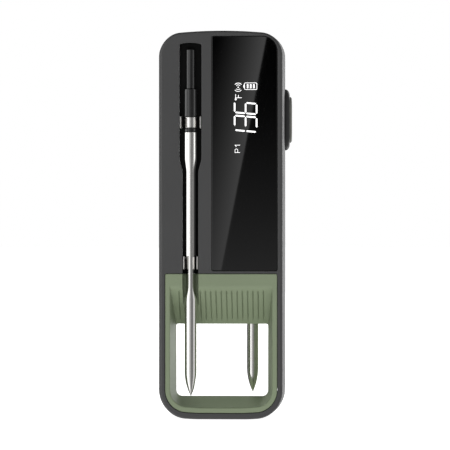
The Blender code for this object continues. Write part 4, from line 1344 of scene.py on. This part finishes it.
def slot_cards(slot, side):
    """Upright cards along the two walls of a probe slot, height by depth, brightest at the slot's mouth.
    Only the probe mirrors them: they are dark to the walls, which are nearer."""
    foot = corners("front_lower_contact")[1][2] + 0.0002
    height = np.linspace(foot, slot.top - 0.001, 60)[:, None]
    depth = np.linspace(-FACE_Y + 0.0006, -slot.floor - 0.0004, 12)[None]
    half = taper(slot, height) - 0.00012 + 0.0 * depth
    for hand, word, bright, deep, mouth in SLOT_CARDS:
        points = np.stack([hand * half - slot.centre, depth + 0.0 * height, height + 0.0 * depth], axis=-1)
        name = f"{side.capitalize()}_Slot_Card_{word}"
        made = Finish(name)
        level = made.axis("Y").absolute().between(deep, mouth) * bright
        if hand > 0:
            level = level * (made.axis("Z").between(0.097, 0.103) * 0.85 + 0.15)
        flown = made.node("ShaderNodeLightPath", {}, [], "Ray Length")
        material = made.glow((level + 0.05) * flown.between(0.0005, 0.0008))
        glossy_card(name, half_turn(points, side), False, material)


def glass_card(stage, reach=1.6):
    """The card that the display glass mirrors to the camera: a grid over the glass, carried along the
    mirrored rays to a plane behind the camera. A slanted edge parts a soft light, which falls off with the
    square of its distance from the edge, from a dark side that brightens towards the foot."""
    across_glass = np.linspace(-0.012, 0.034, 47)[:, None]
    up_glass = np.linspace(0.045, 0.160, 116)[None]
    depth = stage.distance * math.cos(stage.azimuth) - FACE_Y
    eye = (stage.distance * math.sin(stage.azimuth), stage.aim_z)
    far = reach / depth
    x = across_glass + (across_glass - eye[0]) * far + 0.0 * up_glass
    z = up_glass + (up_glass - eye[1]) * far + 0.0 * across_glass
    points = np.stack([x, np.full_like(x, -FACE_Y - reach), z], axis=-1)
    made = Finish("glass_card")
    glass_x = (made.axis("X") + eye[0] * far) / (1 + far)
    glass_z = (made.axis("Z") + eye[1] * far) / (1 + far)
    low, high = GLASS_LOW[2], GLASS_HIGH[2]
    share_up = (glass_z - low) / (high - low)
    past = glass_x - share_up * 0.0178
    falloff = (1.0 + past / 0.0215).math("MAXIMUM", 0.0)
    lit = falloff * falloff * (0.92 + share_up * 0.5) + (1.0 - share_up) * 0.2
    rest = (1.0 - share_up).math("MAXIMUM", 0.0)
    dark = rest * rest * 0.42
    side = past.between(-0.0001, 0.0001)
    glossy_card("Glass_Card", points, False, made.glow(lit * (1.0 - side) + dark * side))


def floor(reach=6.0):
    """A pale floor: a disc, a grid of radius by angle."""
    radius = np.concatenate([[0.0], np.geomspace(0.02, reach, 24)])[:, None]
    angle = np.linspace(0.0, 2 * math.pi, 64, endpoint=False)[None]
    rings = np.stack([radius * np.cos(angle), radius * np.sin(angle), np.full((25, 64), -0.00002)], axis=-1)
    made = make_object("Floor", rings.reshape(-1, 3), grid_faces(25, 64).tolist())
    pale = Finish("pale_floor")
    shade = pale.mix(pale.noise(40.0, 4.0), (0.3, 0.3, 0.3), (0.32, 0.32, 0.32))
    glow = {"Emission_Color": (1.0, 1.0, 1.0, 1.0), "Emission_Strength": 0.96}
    made.data.materials.append(pale.dress(Base_Color=shade, Roughness=0.9, Specular_IOR_Level=0.0, **glow))
    made.visible_glossy = False
    made.visible_shadow = False


def area_light(name, place, size, power):
    """A square light aimed at the middle of the dock, which glossy surfaces and the camera don't see."""
    light = bpy.data.lights.new(name, "AREA")
    light.size = size
    light.energy = power
    made = bpy.data.objects.new(name, light)
    bpy.context.scene.collection.objects.link(made)
    made.location = place
    aim = Vector((0.0, 0.0, HEIGHT / 2)) - Vector(place)
    made.rotation_euler = aim.to_track_quat("-Z", "Y").to_euler()
    made.visible_glossy = False
    made.visible_camera = False


AREA_LIGHTS = (
    ("Front", (0.0, -1.3, -0.42), 1.0, 11.0),
    ("High_Back", (-0.3, 1.0, 0.72), 0.6, 18.0),
    ("Left_Back", (-1.0, 0.7, 0.5), 0.8, 5.0),
    ("Right_Back", (1.0, 0.7, 0.5), 0.8, 5.0),
)


def white_world(ambient):
    """A world that the camera sees as white, and that lights the object evenly and more softly."""
    world = bpy.data.worlds.new("Studio")
    tree = Tree(world)
    tree.nodes.remove(tree.nodes["Background"])
    white = (1.0, 1.0, 1.0, 1.0)
    soft = tree.node("ShaderNodeBackground", {}, [white, ambient])
    backdrop = tree.node("ShaderNodeBackground", {}, [white, 1.0])
    seen = tree.node("ShaderNodeLightPath", {}, [], "Is Camera Ray")
    both = tree.node("ShaderNodeMixShader", {}, [seen, soft, backdrop])
    tree.put(tree.nodes["World Output"].inputs["Surface"], both)
    return world


def set_stage(stage):
    """The world, the floor, the lights, the cards and the camera."""
    scene = bpy.context.scene
    scene.view_settings.view_transform = "Standard"
    scene.world = white_world(stage.ambient)
    floor()
    for name, place, size, power in AREA_LIGHTS:
        area_light(name, place, size, power)
    light_band()
    glass_card(stage)
    for side in SIDES:
        slot_cards(scene.thermometer_slots, side)
    camera = bpy.data.objects.new("Camera", bpy.data.cameras.new("Camera"))
    scene.collection.objects.link(camera)
    aim = Vector((stage.aim_x, -FACE_Y, stage.aim_z))
    turn = stage.azimuth
    camera.location = (stage.distance * math.sin(turn), -stage.distance * math.cos(turn), stage.aim_z)
    camera.rotation_euler = (aim - camera.location).to_track_quat("-Z", "Y").to_euler()
    camera.data.sensor_width = 36.0
    camera.data.lens = 36.0 * (stage.distance - FACE_Y) / stage.view_height
    camera.data.clip_start = 0.01
    scene.camera = camera


# ---------------------------------------------------------------- finishes on pieces and nodes


def finish_table(look):
    """One material for each of the record's slots."""
    return {
        "dark_grey_plastic": moulded_plastic("Dark_Grey_Plastic", look.grey, look.grey_roughness),
        # A darker copy of the housing grey, at 0.45 of it: painted shade on the bezel, which faces the side.
        "bezel_grey_painted_shade": moulded_plastic("Bezel_Grey_Painted_Shade", scaled(look.grey, 0.45), 0.55, 0.00006, 0.35),
        "sage_plastic": moulded_plastic("Sage_Plastic", look.sage, look.sage_roughness, 0.00007, 0.35),
        "black_plastic": moulded_plastic("Black_Plastic", look.black, 0.6, 0.00006, 0.05),
        "black_rubber": soft_rubber("Black_Rubber", (0.02, 0.02, 0.021), 0.7),
        "probe_ceramic": gloss_ceramic("Probe_Black", look.gloss_black),
        "display_glass": display_black("Display_Glass", look.glass),
        "polished_steel": polished_steel("Polished_Steel", look.steel, look.steel_roughness),
        "nickel_plate": plated_metal("Nickel_Plate", (0.6, 0.59, 0.57), 0.28),
        "contact_plate": plated_metal("Contact_Plate", (0.75, 0.74, 0.72), 0.42),
        "cell_foil": cell_foil("Cell_Foil"),
        "circuit_board": solder_mask("Circuit_Board"),
        "button_rubber": soft_rubber("Key_Rubber", look.olive, 0.6),
        "lit_figures": lit_figures("Lit_Figures", look.lit, 1.0),
    }


MADE = {}


def finish(slot_name):
    """The material of a slot, from the table that is made once."""
    if not MADE:
        MADE.update(finish_table(bpy.context.scene.thermometer_finishes))
    return MADE[slot_name]


def clad(piece, body, slot_name, nodes=(), look=None):
    """Gives a piece its finish, the look's if one is given and else the slot's, puts it on the body that it
    rides on, and hides the CAD nodes that it stands for."""
    piece.data.materials.clear()
    piece.data.materials.append(finish(look or slot_name))
    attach(piece, body)
    if nodes:
        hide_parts(*nodes)


KEPT_NODES = {
    "circuit_board": (
        "main_circuit_board",
        "display_module",
        *(side + "_probe_sensor_board" for side in SIDES),
    ),
    "cell_foil": ("battery_cell", *(side + "_probe_cell" for side in SIDES)),
    "nickel_plate": ("magnet_1", "magnet_2", "usb_c_socket"),
    "black_plastic": ("buzzer", "tactile_switch"),
    "button_rubber": ("button_plunger",),
}


class Maker(Operator):
    """Common ground of the operators: the scene's settings."""

    bl_options = {"UNDO"}

    def settings(self, context):
        scene = context.scene
        return scene.thermometer_dock, scene.thermometer_slots


class THERMO_OT_shells(Maker):
    """Make the front and the rear shell of the dock"""

    bl_idname = "thermometer.make_shells"
    bl_label = "Dock shells"

    def execute(self, context):
        dock, slot = self.settings(context)
        clad(front_shell(dock, slot), "dock", "dark_grey_plastic", ("front_housing",))
        clad(rear_shell(dock, slot), "dock", "dark_grey_plastic", ("rear_housing",))
        return {"FINISHED"}


class THERMO_OT_window(Maker):
    """Make the green frames of the thumb window"""

    bl_idname = "thermometer.make_window"
    bl_label = "Window frames"

    def execute(self, context):
        dock, slot = self.settings(context)
        for side in SIDES:
            clad(window_frame(dock, slot, side), "dock", "sage_plastic", (side + "_window_insert",))
        return {"FINISHED"}


class THERMO_OT_channels(Maker):
    """Make the black probe channels and their spring contacts"""

    bl_idname = "thermometer.make_channels"
    bl_label = "Probe channels and contacts"

    def execute(self, context):
        slot = context.scene.thermometer_slots
        for side in SIDES:
            clad(probe_channel(slot, side), "dock", "black_plastic", (side + "_probe_tray",))
            for level in ("upper", "lower"):
                clad(spring_leaf(slot, side, level), "dock", "contact_plate", (f"{side}_{level}_contact",))
        return {"FINISHED"}


class THERMO_OT_probes(Maker):
    """Make the turned pieces of both probes"""

    bl_idname = "thermometer.make_probes"
    bl_label = "Probes"

    def execute(self, context):
        for side in SIDES:
            for node, title, slot_name, profile in PROBE_PIECES:
                piece = turned(f"{side.capitalize()}_Probe_{title}", profile(), probe_axis(side))
                clad(piece, side + "_probe", slot_name, (f"{side}_probe_{node}",))
        return {"FINISHED"}


class THERMO_OT_display(Maker):
    """Make the display glass and its lit figures"""

    bl_idname = "thermometer.make_display"
    bl_label = "Display"

    def execute(self, context):
        clad(glass_panel(), "dock", "display_glass", ("display_glass",))
        clad(display_figures(), "dock", "display_glass", (), "lit_figures")
        return {"FINISHED"}


class THERMO_OT_button(Maker):
    """Make the side button's bezel and key"""

    bl_idname = "thermometer.make_button"
    bl_label = "Side button"

    def execute(self, context):
        # The bezel keeps the housing's slot; its darker copy of the grey is painted shade.
        clad(side_bezel(), "dock", "dark_grey_plastic", ("button_bezel",), "bezel_grey_painted_shade")
        clad(side_key(), "side_button", "button_rubber", ("button_cap",))
        return {"FINISHED"}


class THERMO_OT_back(Maker):
    """Make the rear screws and the ribbed grip pad"""

    bl_idname = "thermometer.make_back"
    bl_label = "Screws and grip pad"

    def execute(self, context):
        for index in range(1, 5):
            clad(screw(index), "dock", "nickel_plate", (f"housing_screw_{index}",))
        clad(grip_pad(), "dock", "black_rubber", ("rear_grip_pad",))
        return {"FINISHED"}


class THERMO_OT_kept(Maker):
    """Give the nodes that stay their procedural finishes"""

    bl_idname = "thermometer.finish_kept_nodes"
    bl_label = "Finish kept nodes"

    def execute(self, context):
        for slot_name, nodes in KEPT_NODES.items():
            for node in nodes:
                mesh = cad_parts[node].data
                mesh.materials.clear()
                mesh.materials.append(finish(slot_name))
        return {"FINISHED"}


class THERMO_OT_stage(Maker):
    """Make the floor, the lights and the camera"""

    bl_idname = "thermometer.make_stage"
    bl_label = "Stage"

    def execute(self, context):
        set_stage(context.scene.thermometer_stage)
        return {"FINISHED"}


MAKERS = (
    THERMO_OT_stage,
    THERMO_OT_shells,
    THERMO_OT_window,
    THERMO_OT_channels,
    THERMO_OT_probes,
    THERMO_OT_display,
    THERMO_OT_button,
    THERMO_OT_back,
    THERMO_OT_kept,
)


class THERMO_PT_panel(Panel):
    """The thermometer's pieces and sizes"""

    bl_idname = "THERMO_PT_panel"
    bl_label = "Meat thermometer"
    bl_space_type = "VIEW_3D"
    bl_region_type = "UI"
    bl_category = "Thermometer"

    def draw(self, context):
        for maker in MAKERS:
            self.layout.operator(maker.bl_idname, text=maker.bl_label)
        for group in GROUPS:
            box = self.layout.box()
            box.label(text=group)
            settings = getattr(context.scene, group)
            for name in settings.bl_rna.properties.keys():
                if name not in ("rna_type", "name"):
                    box.prop(settings, name)


GROUPS = {
    "thermometer_dock": DockSizes,
    "thermometer_slots": SlotSizes,
    "thermometer_finishes": Finishes,
    "thermometer_stage": StageSettings,
}


def register():
    for made in (*GROUPS.values(), *MAKERS, THERMO_PT_panel):
        bpy.utils.register_class(made)
    for name, group in GROUPS.items():
        setattr(bpy.types.Scene, name, PointerProperty(type=group))


def unregister():
    for name in GROUPS:
        delattr(bpy.types.Scene, name)
    for made in reversed((*GROUPS.values(), *MAKERS, THERMO_PT_panel)):
        bpy.utils.unregister_class(made)


def main():
    register()
    for maker in MAKERS:
        family, name = maker.bl_idname.split(".")
        getattr(getattr(bpy.ops, family), name)()


if __name__ == "__main__":
    main()
